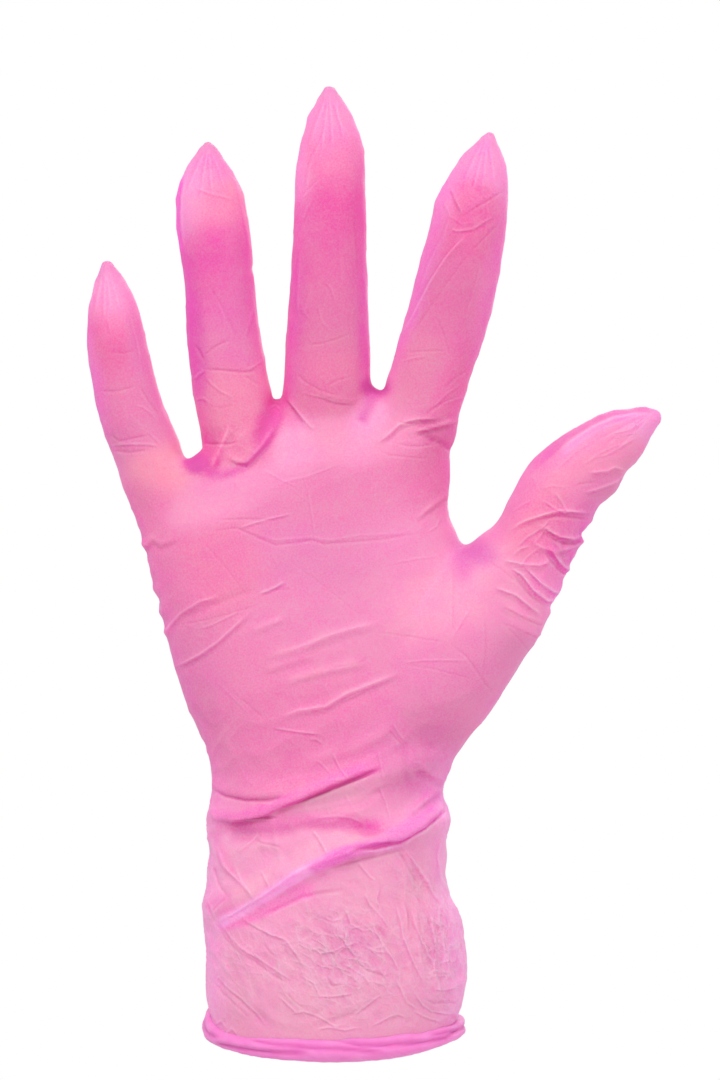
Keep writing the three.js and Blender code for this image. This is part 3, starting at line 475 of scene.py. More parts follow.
# How deep and how cool the film's pink shows, as soft patches: middle, half sizes and turn in degrees.
# depth runs from pale 0 to saturated 1, cool from warm pink 0 to lilac 1, and shade scales how bright the
# pink shows: besides the film's own lightness it holds painted light and shade, below 1 where shade is
# painted, as in the webs between the fingers, and above 1 where light is painted, as along edges and
# under the doubled band.
TONES = [
    ["u", "v", "half_u", "half_v", "turn", "depth", "cool", "shade"],
    # Cuff
    [330, 940, 150, 75, 0, 0.24, 0.50, 0.95],
    [330, 850, 120, 22, -8, 0.34, 0.56, 1.0],
    [222, 850, 22, 40, 0, 0.26, 0.62, 1.00],
    [330, 990, 60, 28, 0, 0.12, 0.46, 0.93],
    [335, 955, 40, 20, 0, 0.10, 0.60, 0.89],
    [455, 940, 20, 70, 0, 0.22, 0.82, 1.01],
    [208, 960, 14, 80, 0, 0.30, 0.78, 1.02],
    [250, 940, 30, 20, 30, 0.38, 0.60, 1.0],
    # Painted light that lifts the shade under the doubled band.
    [320, 875, 18, 6, -25, 0.54, 0.70, 1.22],
    [320, 848, 34, 9, -20, 0.08, 0.46, 1.00],
    # Wrist
    [300, 745, 80, 40, -10, 0.66, 0.42, 0.98],
    [225, 765, 24, 36, 0, 0.56, 0.42, 0.95],
    [345, 790, 30, 10, -20, 0.30, 0.46, 0.96],
    [402, 768, 24, 24, 0, 0.58, 0.60, 0.92],
    [435, 775, 14, 26, 20, 0.50, 0.78, 0.97],
    [430, 815, 20, 18, -30, 0.34, 0.80, 1.00],
    # Palm
    [270, 690, 60, 50, 0, 0.60, 0.34, 0.96],
    [205, 690, 24, 60, -16, 0.62, 0.50, 0.90],
    [320, 640, 70, 40, -15, 0.50, 0.46, 0.96],
    [205, 565, 40, 34, 0, 0.64, 0.20, 0.99],
    [170, 585, 18, 50, -14, 0.66, 0.44, 0.95],
    [345, 555, 60, 30, 0, 0.54, 0.52, 0.91],
    [350, 500, 60, 24, 0, 0.60, 0.40, 0.93],
    [200, 512, 30, 14, -20, 0.38, 0.42, 1.02],
    [245, 485, 36, 14, -20, 0.46, 0.50, 1.0],
    [292, 452, 18, 20, 20, 0.34, 0.58, 1.01],
    [345, 442, 26, 16, 0, 0.40, 0.38, 1.02],
    [366, 425, 12, 26, 20, 0.40, 0.78, 1.02],
    [425, 475, 24, 24, 0, 0.72, 0.34, 0.95],
    [400, 440, 16, 14, 0, 0.44, 0.40, 1.00],
    [400, 545, 36, 30, 0, 0.46, 0.48, 1.0],
    [436, 598, 44, 32, -14, 0.34, 0.40, 1.04],
    [455, 680, 46, 44, 30, 0.56, 0.52, 0.97],
    [430, 735, 24, 34, 30, 0.62, 0.54, 0.86],
    [540, 665, 26, 44, 30, 0.50, 0.52, 0.88],
    [510, 600, 26, 20, 20, 0.44, 0.44, 0.98],
    # Webs between the fingers, a deeper pink with painted shade where the fingers part
    [197, 462, 10, 7, 0, 1.30, 0.75, 0.82],
    [268, 425, 9, 24, 18, 1.20, 0.38, 0.88],
    [212, 450, 9, 18, 0, 0.90, 0.22, 0.93],
    [374, 388, 9, 8, 0, 1.50, 0.76, 0.62],
    [472, 552, 15, 11, 20, 0.80, 1.00, 0.84],
    [463, 570, 8, 14, 0, 0.80, 0.90, 0.93],
    # Little finger
    [110, 296, 14, 24, -10, 0.46, 0.60, 1.03],
    [105, 270, 12, 9, 0, 0.50, 0.80, 0.86],
    [112, 345, 15, 30, -10, 0.80, 0.24, 0.95],
    [142, 375, 7, 44, -14, 0.60, 0.60, 0.92],
    [98, 390, 7, 40, -12, 0.70, 0.66, 1.02],
    [126, 400, 20, 26, -10, 0.64, 0.40, 0.93],
    [134, 432, 24, 14, 0, 0.58, 0.40, 0.90],
    [160, 470, 17, 20, 0, 0.40, -0.05, 1.02],
    [148, 510, 16, 24, 0, 0.66, 0.34, 0.98],
    # Ring finger
    [208, 160, 22, 18, 0, 0.58, 0.72, 0.99],
    [209, 147, 9, 6, 0, 0.50, 0.80, 0.84],
    [188, 190, 12, 30, 0, 0.46, 0.88, 1.02],
    [216, 205, 22, 18, 0, 0.56, 0.20, 1.03],
    [216, 262, 24, 34, 0, 0.96, 0.44, 0.99],
    [236, 300, 20, 34, -10, 0.76, 0.60, 0.94],
    [195, 335, 8, 50, -6, 0.94, 0.70, 0.92],
    [230, 345, 26, 20, 0, 0.66, 0.46, 0.94],
    [235, 400, 26, 32, 0, 0.58, 0.12, 1.00],
    [246, 455, 18, 10, 0, 0.60, 0.14, 0.94],
    # Middle finger
    [331, 118, 24, 24, 0, 0.56, 0.64, 1.03],
    [331, 93, 12, 8, 0, 0.36, 0.76, 0.84],
    [333, 163, 24, 24, 0, 0.66, 0.34, 1.01],
    [338, 210, 24, 36, 0, 1.00, 0.32, 0.99],
    [300, 178, 10, 20, 0, 0.48, 0.70, 1.04],
    [303, 225, 10, 24, 0, 0.76, 0.50, 0.96],
    [330, 260, 34, 40, 0, 0.80, 0.38, 0.93],
    [325, 320, 26, 34, 0, 0.68, 0.34, 0.88],
    [325, 365, 26, 20, 0, 0.66, 0.20, 0.95],
    [325, 398, 34, 12, 0, 0.68, 0.20, 0.90],
    [292, 355, 7, 50, 0, 0.78, 0.50, 0.92],
    [297, 296, 7, 34, 0, 0.84, 0.64, 0.91],
    [367, 318, 8, 54, 0, 0.86, 0.66, 0.91],
    # Index finger
    [486, 155, 20, 24, 8, 0.54, 0.72, 1.01],
    [446, 198, 8, 30, 20, 0.50, 0.90, 0.99],
    [468, 198, 18, 14, 0, 0.84, 0.36, 0.98],
    [503, 168, 8, 20, 0, 0.50, 0.76, 1.06],
    [468, 232, 26, 24, 0, 0.84, 0.28, 0.95],
    [450, 290, 22, 42, 14, 0.74, 0.38, 0.88],
    [490, 275, 7, 60, 12, 0.72, 0.60, 1.02],
    [420, 285, 8, 56, 20, 0.58, 0.88, 0.93],
    [422, 365, 18, 26, 10, 0.58, 0.30, 0.90],
    [454, 385, 14, 36, 12, 0.78, 0.34, 1.00],
    [440, 430, 18, 12, 0, 0.74, 0.34, 0.86],
    # Thumb
    [645, 422, 22, 12, -20, 0.44, 0.84, 1.04],
    [590, 440, 40, 7, -32, 0.52, 0.50, 1.00],
    [590, 465, 44, 16, -40, 0.50, 0.28, 1.00],
    [520, 490, 12, 44, 34, 0.60, 0.56, 0.98],
    [545, 520, 24, 26, 30, 0.64, 0.16, 0.98],
    [580, 530, 24, 34, 30, 0.72, 0.64, 0.99],
    [600, 490, 16, 14, 0, 0.60, 0.54, 0.93],
    # Painted light along the thumb's right edge.
    [552, 590, 18, 20, 20, 0.62, 0.60, 1.14],
    [528, 612, 16, 14, 30, 0.54, 0.44, 1.18],
]

# Bands where the film lies double or is stretched, along a route, on the palm's side or the back, with
# painted light along the bright edges of the folds and painted shade, a deeper pink, in the creases below
# them: from and to are millimetres across it, and soft is how gradually the band ends.
TONE_BANDS = [
    ["face", "from", "to", "soft", "depth", "cool", "shade", "route"],
    ["palm", -3.2, 2.7, 0.9, 0.64, 0.6, 1.1, [(214, 924), (240, 916), (262, 907), (288, 895),
     (318, 884)]],
    ["palm", -0.6, 2.4, 0.6, 0.4, 0.98, 1.22, [(208, 926), (236, 910), (269, 889), (300, 869), (326, 857),
     (346, 849)]],
    ["palm", -0.6, 2.2, 0.8, 0.74, 0.92, 1.08, [(304, 868), (330, 856), (356, 845), (392, 838)]],
    ["palm", -1.8, 1.8, 0.8, 0.74, 0.95, 1.08, [(322, 862), (349, 852), (375, 846), (404, 840)]],
    ["palm", -3.4, 0.2, 1.2, 0.6, 0.92, 1.05, [(378, 845), (401, 840), (421, 826), (436, 813),
     (452, 803)]],
    ["palm", -1.6, 1.8, 1.6, 0.22, 0.42, 1.0, [(226, 905), (262, 880), (300, 858), (340, 836),
     (392, 826)]],
    ["palm", -1.4, 0.8, 0.8, 0.68, 0.66, 1.04, [(204, 814), (238, 816), (268, 808), (301, 794),
     (343, 776), (382, 762)]],
    ["palm", 0.6, 3.4, 1.2, 0.34, 0.5, 0.97, [(288, 806), (322, 794), (350, 783), (386, 770)]],
    ["palm", -0.5, 0.7, 0.6, 1.0, 0.44, 0.98, [(276, 806), (301, 800), (343, 784), (384, 767)]],
    ["palm", -0.6, 0.7, 0.6, 0.6, 0.8, 1.18, [(350, 850), (375, 848), (401, 843), (421, 831), (436, 818),
     (453, 806)]],
    ["palm", -2.2, 1.2, 1.5, 0.66, 0.56, 1.0, [(206, 828), (250, 826), (300, 822), (345, 824),
     (394, 830)]],
    ["palm", -5.0, -0.3, 0.35, 0.74, 0.64, 0.97, [(530, 476), (553, 457), (572, 442), (593, 428),
     (613, 419), (638, 415), (660, 413)]],
    ["palm", -0.1, 1.3, 0.5, 0.42, 0.8, 1.03, [(556, 457), (574, 442), (595, 427), (616, 418), (637, 414),
     (656, 412)]],
    ["palm", 0.1, 2.6, 0.4, 0.84, 0.86, 1.1, [(186, 174), (181, 198), (181, 225), (185, 256)]],
    ["palm", -0.9, 0.8, 1.3, 0.92, 0.56, 0.93, [(198, 470), (222, 476), (244, 468), (262, 448),
     (276, 420), (284, 400)]],
    ["palm", -1.0, 1.0, 1.8, 0.9, 0.8, 0.9, [(374, 392), (368, 408), (360, 424)]],
    ["palm", -1.2, 1.2, 1.2, 0.5, 0.52, 1.02, [(212, 828), (222, 850), (236, 876)]],
    ["palm", -1.0, 1.2, 1.2, 0.52, 0.54, 1.0, [(206, 908), (219, 901), (234, 895)]],
    ["back", -0.6, 3.0, 0.8, 0.6, 0.84, 1.06, [(203, 926), (232, 905), (275, 880), (318, 868), (352, 846),
     (398, 836), (452, 804)]],
    ["back", -1.4, 0.8, 0.8, 0.76, 0.62, 1.02, [(206, 810), (238, 822), (284, 812), (330, 800),
     (372, 806), (410, 796), (448, 782)]],
    ["back", -2.0, 2.0, 1.6, 0.6, 0.54, 0.98, [(230, 850), (280, 842), (330, 832), (380, 822),
     (420, 812)]],
]
PLAIN_TONE = {"depth": 0.5, "cool": 0.45, "shade": 0.97}
PLAIN_TONE_WEIGHT = 0.06
BAND_END_SHARE = 0.12
# How far the film turns to each side before that side's bands begin to show, and show in full.
BAND_PALM_STEP = (-0.45, -0.05)
BAND_BACK_STEP = (-0.05, 0.35)

# What the lie of the film adds to its tones: along the side edges a deeper, cooler pink with painted
# light, in sunk hollows a deeper pink with painted shade, on steeply turned flanks a deeper pink painted
# as shade and a little brighter, and on raised ridges a paler pink as a painted highlight. Each shift
# adds nothing where the measure is below starts, the whole shift where it is above full, and only in its
# region.
TONE_SHIFTS = [
    ["tone", "measure", "starts", "full", "region", "shift"],
    ["depth", "edge", 0.55, 1.0, "everywhere", 0.12],
    ["depth", "sunk", 0.08, 0.7, "everywhere", 0.22],
    ["depth", "turned", 0.02, 0.22, "everywhere", 0.22],
    ["depth", "raised", 0.12, 0.6, "above_cuff", -0.15],
    ["cool", "edge", 0.55, 1.0, "everywhere", 0.20],
    ["cool", "edge", 0.55, 1.0, "finger_tones", -0.10],
    ["cool", "left", 0.35, 0.95, "finger_tones", 0.12],
    ["shade", "edge", 0.55, 1.0, "everywhere", 0.13],
    ["shade", "sunk", 0.1, 0.9, "everywhere", -0.04],
    ["shade", "turned", 0.03, 0.25, "everywhere", 0.05],
    ["shade", "raised", 0.12, 0.6, "above_cuff", 0.035],
]

# How far the film is crumpled, place by place.
CRUMPLED_PLACES = [
    ["u", "v", "half_u", "half_v", "amount"],
    [345, 955, 95, 72, 0.82],
    [440, 950, 34, 80, 0.8],
    [250, 960, 60, 80, 0.5],
    [410, 880, 50, 40, 0.6],
    [260, 860, 60, 30, 0.35],
    [340, 800, 90, 40, 0.3],
    [425, 770, 30, 50, 0.5],
    [330, 690, 110, 70, 0.25],
    [210, 620, 60, 60, 0.35],
    [560, 550, 40, 60, 0.6],
    [430, 430, 40, 30, 0.4],
    [235, 440, 40, 40, 0.45],
    [215, 170, 30, 40, 0.3],
    [480, 190, 30, 60, 0.45],
    [130, 430, 30, 30, 0.4],
    [325, 385, 40, 25, 0.35],
]

# Where the smoothed film is drawn back out or in to its outline: place, reach and move in chart steps.
GRABS = [
    ["u", "v", "reach", "move_u", "move_v"],
    # Finger tips
    [328, 92, 15, 0, -3.5],
    [209, 148, 13, 0, -3],
    [106, 265, 11, 0, -3.5],
    [489, 136, 10, 1, -1],
    [660, 418, 13, 3, 1],
    [635, 405, 16, 0, 2.5],
    # Finger edges
    [128, 292, 22, 1.6, -0.6],
    [362, 145, 26, 1.8, 0],
    [505, 168, 26, 1.8, 0],
    [438, 198, 16, -2.4, 0],
    [424, 262, 46, -1.4, 0],
    [478, 330, 60, 1.4, 0],
    [245, 185, 22, 1.2, 0],
    [300, 240, 60, 1.0, 0],
    [180, 190, 18, -1.0, 0],
    # Palm and webs
    [124, 492, 17, -3.4, 0],
    [453, 438, 15, 3.6, 0],
    [448, 506, 22, -3.2, 0],
    [492, 518, 22, 3.0, 6.5],
    [470, 543, 13, 0, 2.5],
    [524, 460, 24, -1.8, -1.8],
    [190, 452, 13, -2.0, 4.0],
    [208, 768, 30, 2.2, 0],
    [145, 545, 6, -1.6, 0],
    [148, 554, 4, 1.2, 0],
    [153, 572, 5, -1.0, 0],
    [157, 588, 5, -1.3, 0],
    [159, 599, 4, 1.2, 0],
    [163, 612, 4, -1.0, 0],
    [166, 622, 4, 1.0, 0],
    [168, 632, 4, -1.8, 0],
    [382, 388, 8, 1.5, 3.5],
    [271, 402, 7, -2.0, 2.5],
    [284, 402, 7, 1.0, 2.5],
    # Thumb gathers
    [630, 476, 12, -2.0, -2.6],
    [598, 507, 8, -1.5, -2.5],
    [590, 521, 5, 1.6, 0.6],
    [583, 534, 5, -4.4, -0.6],
    [584, 541, 4, 2.4, 1.0],
    [579, 556, 5, 1.4, 0.6],
    [569, 573, 4, 1.6, 0.6],
    [563, 579, 4, -1.6, 0],
    [562, 592, 5, 1.2, 0.4],
    [551, 606, 4, -1.6, 0],
    [252, 269, 5, -1.4, 0],
    [572, 573, 9, -6.0, 0],
    [556, 603, 8, -3.5, 0],
    [545, 633, 13, 3.0, 0],
    # Cuff
    [452, 808, 11, -4.5, 0],
    [452, 895, 12, -2.0, 0],
    [466, 955, 24, -1.6, 0],
    [204, 958, 40, 2.4, 0],
]

# Where the film's regions lie: the heights in millimetres where each begins, is whole, ends and is over.
REGIONS = [
    ["region", "begins", "whole", "ends", "over"],
    ["cuff", 3, 9, 50, 74],
    ["wrist", 40, 56, 74, 96],
    ["palm", 70, 90, 150, 172],
    ["fingers", 150, 175, 250, 251],
    ["finger_tones", 150, 170, 250, 251],
    ["above_cuff", 68, 80, 250, 251],
    ["everywhere", -11, -10, 250, 251],
]
# The steps in x from the left part of the cuff to the right, and in the normal's y from the edges of the
# glove to its faces.
CUFF_RIGHT_STEP_MM = (2, 22)
EDGE_STEP = (0.35, 0.85)
# Where the cuff is crushed and the edges are gathered.
CRUSHED_PLACES = [
    ["u", "v", "half_u", "half_v"],
    [345, 965, 75, 55],
]
GATHERED_PLACES = [
    ["u", "v", "half_u", "half_v"],
    [155, 600, 30, 60],
    [575, 540, 60, 70],
]

# How much of one place's waves also lies round it, as shares: the crushed film's in the rest of the cuff,
# the wrist's in the cuff, and the gathers' along all the edges.
CRUSHED_IN_CUFF = 0.35
FINELY_CRUSHED_IN_CUFF = 0.3
WRIST_IN_CUFF = 0.8
GATHERED_ON_EDGES = 0.4

# The soft waves and crumples of the loose film, in millimetres. along and across are their size along
# their way and across it. Sharpness 0 is a soft swell, and more makes ridges, raised above a level. What
# wanders doesn't run straight.
LOOSE_WAVES = [
    ["region", "height", "sharpness", "level", "wanders", "way", "along", "across", "seed"],
    ["cuff_left", 0.34, 2.0, 0.0, True, (0.8, 0.2, -0.6), 26, 6.5, 21],
    ["cuff_right", 0.34, 2.0, 0.0, True, (0.2, 0.1, -1.0), 26, 5.5, 22],
    ["crushed", 0.18, 2.5, 0.2, True, (0, 0, 1), 5.2, 5.2, 23],
    ["finely_crushed", 0.10, 2.0, 0.2, True, (0, 0, 1), 2.9, 2.9, 24],
    ["cuff_and_wrist", 0.45, 0, 0.0, False, (0.9, 0, 0.4), 24, 9, 25],
    ["wrist", 0.30, 2.0, 0.0, True, (0.9, 0.2, 0.35), 30, 6, 26],
    ["palm", 0.12, 2.0, 0.0, True, (0.93, 0.1, 0.35), 34, 8, 27],
    ["palm", 0.10, 0, 0.0, False, (0.9, 0, 0.4), 20, 8, 28],
    ["fingers", 0.09, 0, 0.0, True, (0, 0, 1), 7, 7, 29],
    ["fingers", 0.08, 2.0, 0.0, True, (0.6, 0.1, 0.8), 18, 5, 30],
    ["gathered_edges", 0.25, 0, 0.0, False, (0, 0, 1), 3.4, 3.4, 31],
    ["edges", 0.12, 0, 0.0, False, (0, 0, 1), 8, 8, 32],
]
WANDER_SIZE_MM = 13
WANDER_REACH_MM = 3.0
WANDER_SEEDS = (11, 12, 13)
RIDGE_NARROWNESS = 2.2
NOISE_CELLS = 512
NOISE_GAIN = 1.6


def rows_of(table):
    """A table's rows, each by the names in the first row."""
    names, *rows = table
    return [dict(zip(names, row)) for row in rows]


def chart_uv(points_mm):
    """Where the camera sees points, as chart u and v."""
    scale = -CAMERA_MM[1] / (points_mm[:, 1] - CAMERA_MM[1])
    x = CAMERA_MM[0] + (points_mm[:, 0] - CAMERA_MM[0]) * scale
    z = CAMERA_MM[2] + (points_mm[:, 2] - CAMERA_MM[2]) * scale
    return (
        CHART_ORIGIN_UV[0] + x / CHART_STEP_MM,
        CHART_ORIGIN_UV[1] - z / CHART_STEP_MM,
    )


def smoothstep(value, low, high):
    """A soft step from 0 at low to 1 at high."""
    share = np.clip((value - low) / (high - low), 0, 1)
    return share * share * (3 - 2 * share)


def end_fade(share, length):
    """1 along a route, and softly to 0 over a share of its length at both ends."""
    return smoothstep(share, 0, length) * smoothstep(1 - share, 0, length)


def bell(u, v, half_u, half_v):
    """1 in the middle, and softly to nothing round it."""
    return np.exp(-((u / half_u) ** 2) - (v / half_v) ** 2)


def near_place(u, v, place):
    """1 at a charted place, and softly to nothing round it."""
    return bell(u - place["u"], v - place["v"], place["half_u"], place["half_v"])


def regions_at(z):
    """How much each region counts at heights, from 0 to 1."""
    return {
        row["region"]: smoothstep(z, row["begins"], row["whole"])
        * smoothstep(z, row["over"], row["ends"])
        for row in rows_of(REGIONS)
    }


def gradient_noise(points, seed):
    """Smooth noise from -1 to 1 at points, one feature per unit."""
    random = np.random.RandomState(seed)
    order = random.permutation(NOISE_CELLS)
    slopes = random.normal(size=(NOISE_CELLS, 3))
    slopes /= np.linalg.norm(slopes, axis=1, keepdims=True)
    cell = np.floor(points).astype(int)
    inside = points - cell
    ease = inside**3 * (inside * (inside * 6 - 15) + 10)
    total = np.zeros(len(points))
    for corner in np.ndindex(2, 2, 2):
        x, y, z = ((cell + corner) % NOISE_CELLS).T
        pick = order[(order[(order[x] + y) % NOISE_CELLS] + z) % NOISE_CELLS]
        slope = np.sum(slopes[pick] * (inside - corner), axis=1)
        weight = np.prod(np.where(corner, ease, 1 - ease), axis=1)
        total += weight * slope
    return total * NOISE_GAIN


def along_route(u, v, route):
    """Signed distance from a charted route in millimetres, more than 0 below a route that runs to the
    right, the share of its length at the nearest point, and the way down across it in x and z."""
    route = np.array(route, float)
    legs = np.linalg.norm(np.diff(route, axis=0), axis=1)
    starts = np.concatenate([[0], np.cumsum(legs)])
    nearest = np.full(len(u), np.inf)
    side, share, down_x, down_z = (np.zeros(len(u)) for _ in range(4))
    for leg, length in enumerate(legs):
        step = (route[leg + 1] - route[leg]) / length
        du, dv = u - route[leg, 0], v - route[leg, 1]
        reach = np.clip(du * step[0] + dv * step[1], 0, length)
        apart = np.hypot(du - reach * step[0], dv - reach * step[1])
        closer = apart < nearest
        nearest = np.where(closer, apart, nearest)
        across = dv * step[0] - du * step[1]
        side = np.where(closer, np.where(across < 0, -1.0, 1.0), side)
        share = np.where(closer, (starts[leg] + reach) / starts[-1], share)
        down_x = np.where(closer, -step[1], down_x)
        down_z = np.where(closer, -step[0], down_z)
    return nearest * side * CHART_STEP_MM, share, down_x, down_z


def near_route(u, v, route, reach_mm):
    """Which charted points lie near enough to a route to be changed by it."""
    margin = reach_mm / CHART_STEP_MM
    low, high = np.min(route, axis=0) - margin, np.max(route, axis=0) + margin
    return np.nonzero((u > low[0]) & (u < high[0]) & (v > low[1]) & (v < high[1]))[0]


def patch_tones(u, v):
    """The film's depth, coolness and shade at charted points, blended from the patches."""
    weights = np.full(len(u), PLAIN_TONE_WEIGHT)
    sums = {name: PLAIN_TONE_WEIGHT * value * np.ones(len(u)) for name, value in PLAIN_TONE.items()}
    for patch in rows_of(TONES):
        turn = math.radians(patch["turn"])
        du, dv = u - patch["u"], v - patch["v"]
        along = du * math.cos(turn) + dv * math.sin(turn)
        across = dv * math.cos(turn) - du * math.sin(turn)
        near = bell(along, across, patch["half_u"], patch["half_v"])
        weights += near
        for name in PLAIN_TONE:
            sums[name] += near * patch[name]
    return {name: total / weights for name, total in sums.items()}


def tones_at(points, normals):
    """The film's tones at points, from the patches and the bands."""
    u, v = chart_uv(points)
    tones = patch_tones(u, v)
    shown_on = {
        "palm": smoothstep(-normals[:, 1], *BAND_PALM_STEP),
        "back": smoothstep(normals[:, 1], *BAND_BACK_STEP),
    }
    for band in rows_of(TONE_BANDS):
        start, end, soft = band["from"], band["to"], band["soft"]
        near = near_route(u, v, band["route"], max(-start, end) + 2 * soft)
        across, share, _, _ = along_route(u[near], v[near], band["route"])
        strength = smoothstep(across, start - soft, start + soft)
        strength *= 1 - smoothstep(across, end - soft, end + soft)
        strength *= end_fade(share, BAND_END_SHARE) * shown_on[band["face"]][near]
        for name in PLAIN_TONE:
            tones[name][near] += strength * (band[name] - tones[name][near])
    return tones


def shifted_tones(tones, points, normals, moves, moved_normals):
    """The tones, changed by how the moves have laid the film, with the painted light and shade of
    TONE_SHIFTS.
    """
    raised = np.sum(moves * normals, axis=1) - OUTER_SWELL_MM
    measures = {
        "edge": np.abs(normals[:, 0]),
        "left": -normals[:, 0],
        "raised": raised,
        "sunk": -raised,
        "turned": 1 - np.sum(moved_normals * normals, axis=1),
    }
    regions = regions_at(points[:, 2])
    for row in rows_of(TONE_SHIFTS):
        share = smoothstep(measures[row["measure"]], row["starts"], row["full"])
        tones[row["tone"]] += row["shift"] * share * regions[row["region"]]
    return tones


def crest_creases():
    """The sharp lines along the crests of the folds that have them, as fine creases."""
    return [[fold["route"], fold["crest"], CREST_WIDTH_MM] for fold in rows_of(FOLDS) if fold["crest"]]


def streak_route(tip, streak):
    """The route of one streak, which runs away from the tip and aside."""
    down = math.radians(tip["down"])
    shorter = STREAK_SHORTENING * abs(streak["aside"] - LONGEST_STREAK_ASIDE)
    length = tip["length"] * (1 - shorter)
    route = []
    for share in (streak["start"], *STREAK_SHARES):
        spread = tip["spread"] * share * (1 + STREAK_SLOWING - STREAK_SLOWING * share)
        aside = streak["aside"] * spread
        away = length * share
        route.append(
            (
                tip["u"] + aside * math.cos(down) + away * math.sin(down),
                tip["v"] - aside * math.sin(down) + away * math.cos(down),
            )
        )
    return route


def streak_creases():
    """The streaks below the tips, as fine creases."""
    return [
        [streak_route(tip, streak), streak["height"], STREAK_WIDTH_MM]
        for tip in rows_of(TIP_STREAKS)
        for streak in rows_of(STREAKS_OF_A_TIP)
    ]


def crease_lines(points, facing):
    """The fine creases as lines for the material: for each layer, how far across the nearest crease a
    vertex lies, in widths, and the crease's height. Close creases go to different layers."""
    u, v = chart_uv(points)
    layers = [
        {"across": np.full(len(u), CREASE_FAR_WIDTHS), "height": np.zeros(len(u))}
        for _ in range(CREASE_LAYERS)
    ]
    for route, height, width in FINE_CREASES + streak_creases() + crest_creases():
        near = near_route(u, v, route, CREASE_REACH_MM)
        near = near[facing[near] > 0]
        across, share, _, _ = along_route(u[near], v[near], route)
        inside = np.abs(across) < CREASE_REACH_MM
        near, across, share = near[inside], across[inside], share[inside]
        fade = end_fade(share, CREASE_END_SHARE) * facing[near]
        fade *= 1 - smoothstep(np.abs(across), CREASE_CORE_MM, CREASE_ZONE_MM)
        taken = [np.sum(np.abs(layer["height"][near]) > 0) for layer in layers]
        layer = layers[int(np.argmin(taken))]
        free = np.abs(layer["height"][near]) <= np.abs(height) * fade
        widths = across[free] / (CREASE_FINENESS * width)
        layer["across"][near[free]] = np.clip(widths, -CREASE_FAR_WIDTHS, CREASE_FAR_WIDTHS)
        layer["height"][near[free]] = height * fade[free]
    return layers


def crumpled(points):
    """How loose and crumpled the film lies, from 0 to 1."""
    u, v = chart_uv(points)
    most = np.zeros(len(u))
    for place in rows_of(CRUMPLED_PLACES):
        most = np.maximum(most, place["amount"] * near_place(u, v, place))
    return most


def grabbed(points):
    """Points after the grabs."""
    u, v = chart_uv(points)
    moved = points.copy()
    for grab in rows_of(GRABS):
        pull = CHART_STEP_MM * bell(u - grab["u"], v - grab["v"], grab["reach"], grab["reach"])
        moved[:, 0] += pull * grab["move_u"]
        moved[:, 2] -= pull * grab["move_v"]
    return moved


def routed_lift(u, v, fold):
    """The lift of one fold or crease at charted points, and where the film leans."""
    across, share, down_x, down_z = along_route(u, v, fold["route"])
    fade = smoothstep(share, *FOLD_END) * smoothstep(1 - share, *FOLD_END)
    reach = np.where(across < 0, fold["gentle"], fold["steep"])
    ridge = np.exp(-((across / reach) ** 2))
    below = across / fold["steep"] - GROOVE_OFFSET
    lift = fade * (fold["height"] * ridge - fold["groove"] * np.exp(-(below**2)))
    lean = fade * fold["lean"] * ridge
    return lift, lean * down_x, lean * down_z


def lifted_by_folds(points, normals, folds, facing):
    """The way that folds move points, in millimetres."""
    u, v = chart_uv(points)
    moves = np.zeros_like(points)
    for fold in folds:
        near = near_route(u, v, fold["route"], FOLD_REACHES * max(fold["gentle"], fold["steep"]))
        near = near[facing[near] > 0]
        lift, lean_x, lean_z = routed_lift(u[near], v[near], fold)
        moves[near] += normals[near] * (lift * facing[near])[:, None]
        moves[near, 0] += lean_x * facing[near]
        moves[near, 2] += lean_z * facing[near]
    return moves


def cuff_folds():
    """The cuff's creases, in the form that folds have."""
    return [
        {
            "route": route,
            "height": height,
            "gentle": reach,
            "steep": reach,
            "groove": CUFF_GROOVE_SHARE * abs(height),
            "lean": 0.0,
        }
        for route, height, reach in CUFF_CREASES
    ]


def knuckle_folds():
    """The creases over the joints, in the form that folds have."""
    return [
        {**KNUCKLE_CREASE, "route": [(u - half, v + tilt), (u, v + KNUCKLE_SAG), (u + half, v - tilt)]}
        for u, v, half, tilt in KNUCKLE_CREASES
    ]


def stretched(points, way, along_mm, across_mm):
    """Points measured in along_mm along a direction and in across_mm across it, for drawn-out noise."""
    way = np.array(way, float) / np.linalg.norm(way)
    along = points @ way
    rest = points - along[:, None] * way
    return rest / across_mm + along[:, None] * way / along_mm


def ridges(points, seed, sharpness):
    """Thin raised lines, as loose film has, from 0 to 1."""
    noise = np.abs(gradient_noise(points, seed))
    return np.clip(1 - noise * RIDGE_NARROWNESS, 0, 1) ** sharpness


def loose_regions(points, normals):
    """How much the waves of each region count at points: fully in a region's own place, and by a share
    where it reaches into another."""
    u, v = chart_uv(points)
    regions = regions_at(points[:, 2])
    cuff, wrist = regions["cuff"], regions["wrist"]
    right = smoothstep(points[:, 0], *CUFF_RIGHT_STEP_MM)
    edges = 1 - smoothstep(np.abs(normals[:, 1]), *EDGE_STEP)
    crushed = cuff * sum(near_place(u, v, place) for place in rows_of(CRUSHED_PLACES))
    gathered = sum(near_place(u, v, place) for place in rows_of(GATHERED_PLACES))
    return {
        **regions,
        "cuff_left": cuff * (1 - right),
        "cuff_right": cuff * right,
        "crushed": CRUSHED_IN_CUFF * cuff + crushed,
        "finely_crushed": FINELY_CRUSHED_IN_CUFF * cuff + crushed,
        "cuff_and_wrist": WRIST_IN_CUFF * cuff + wrist,
        "edges": edges,
        "gathered_edges": edges * (GATHERED_ON_EDGES + np.minimum(gathered, 1)),
    }


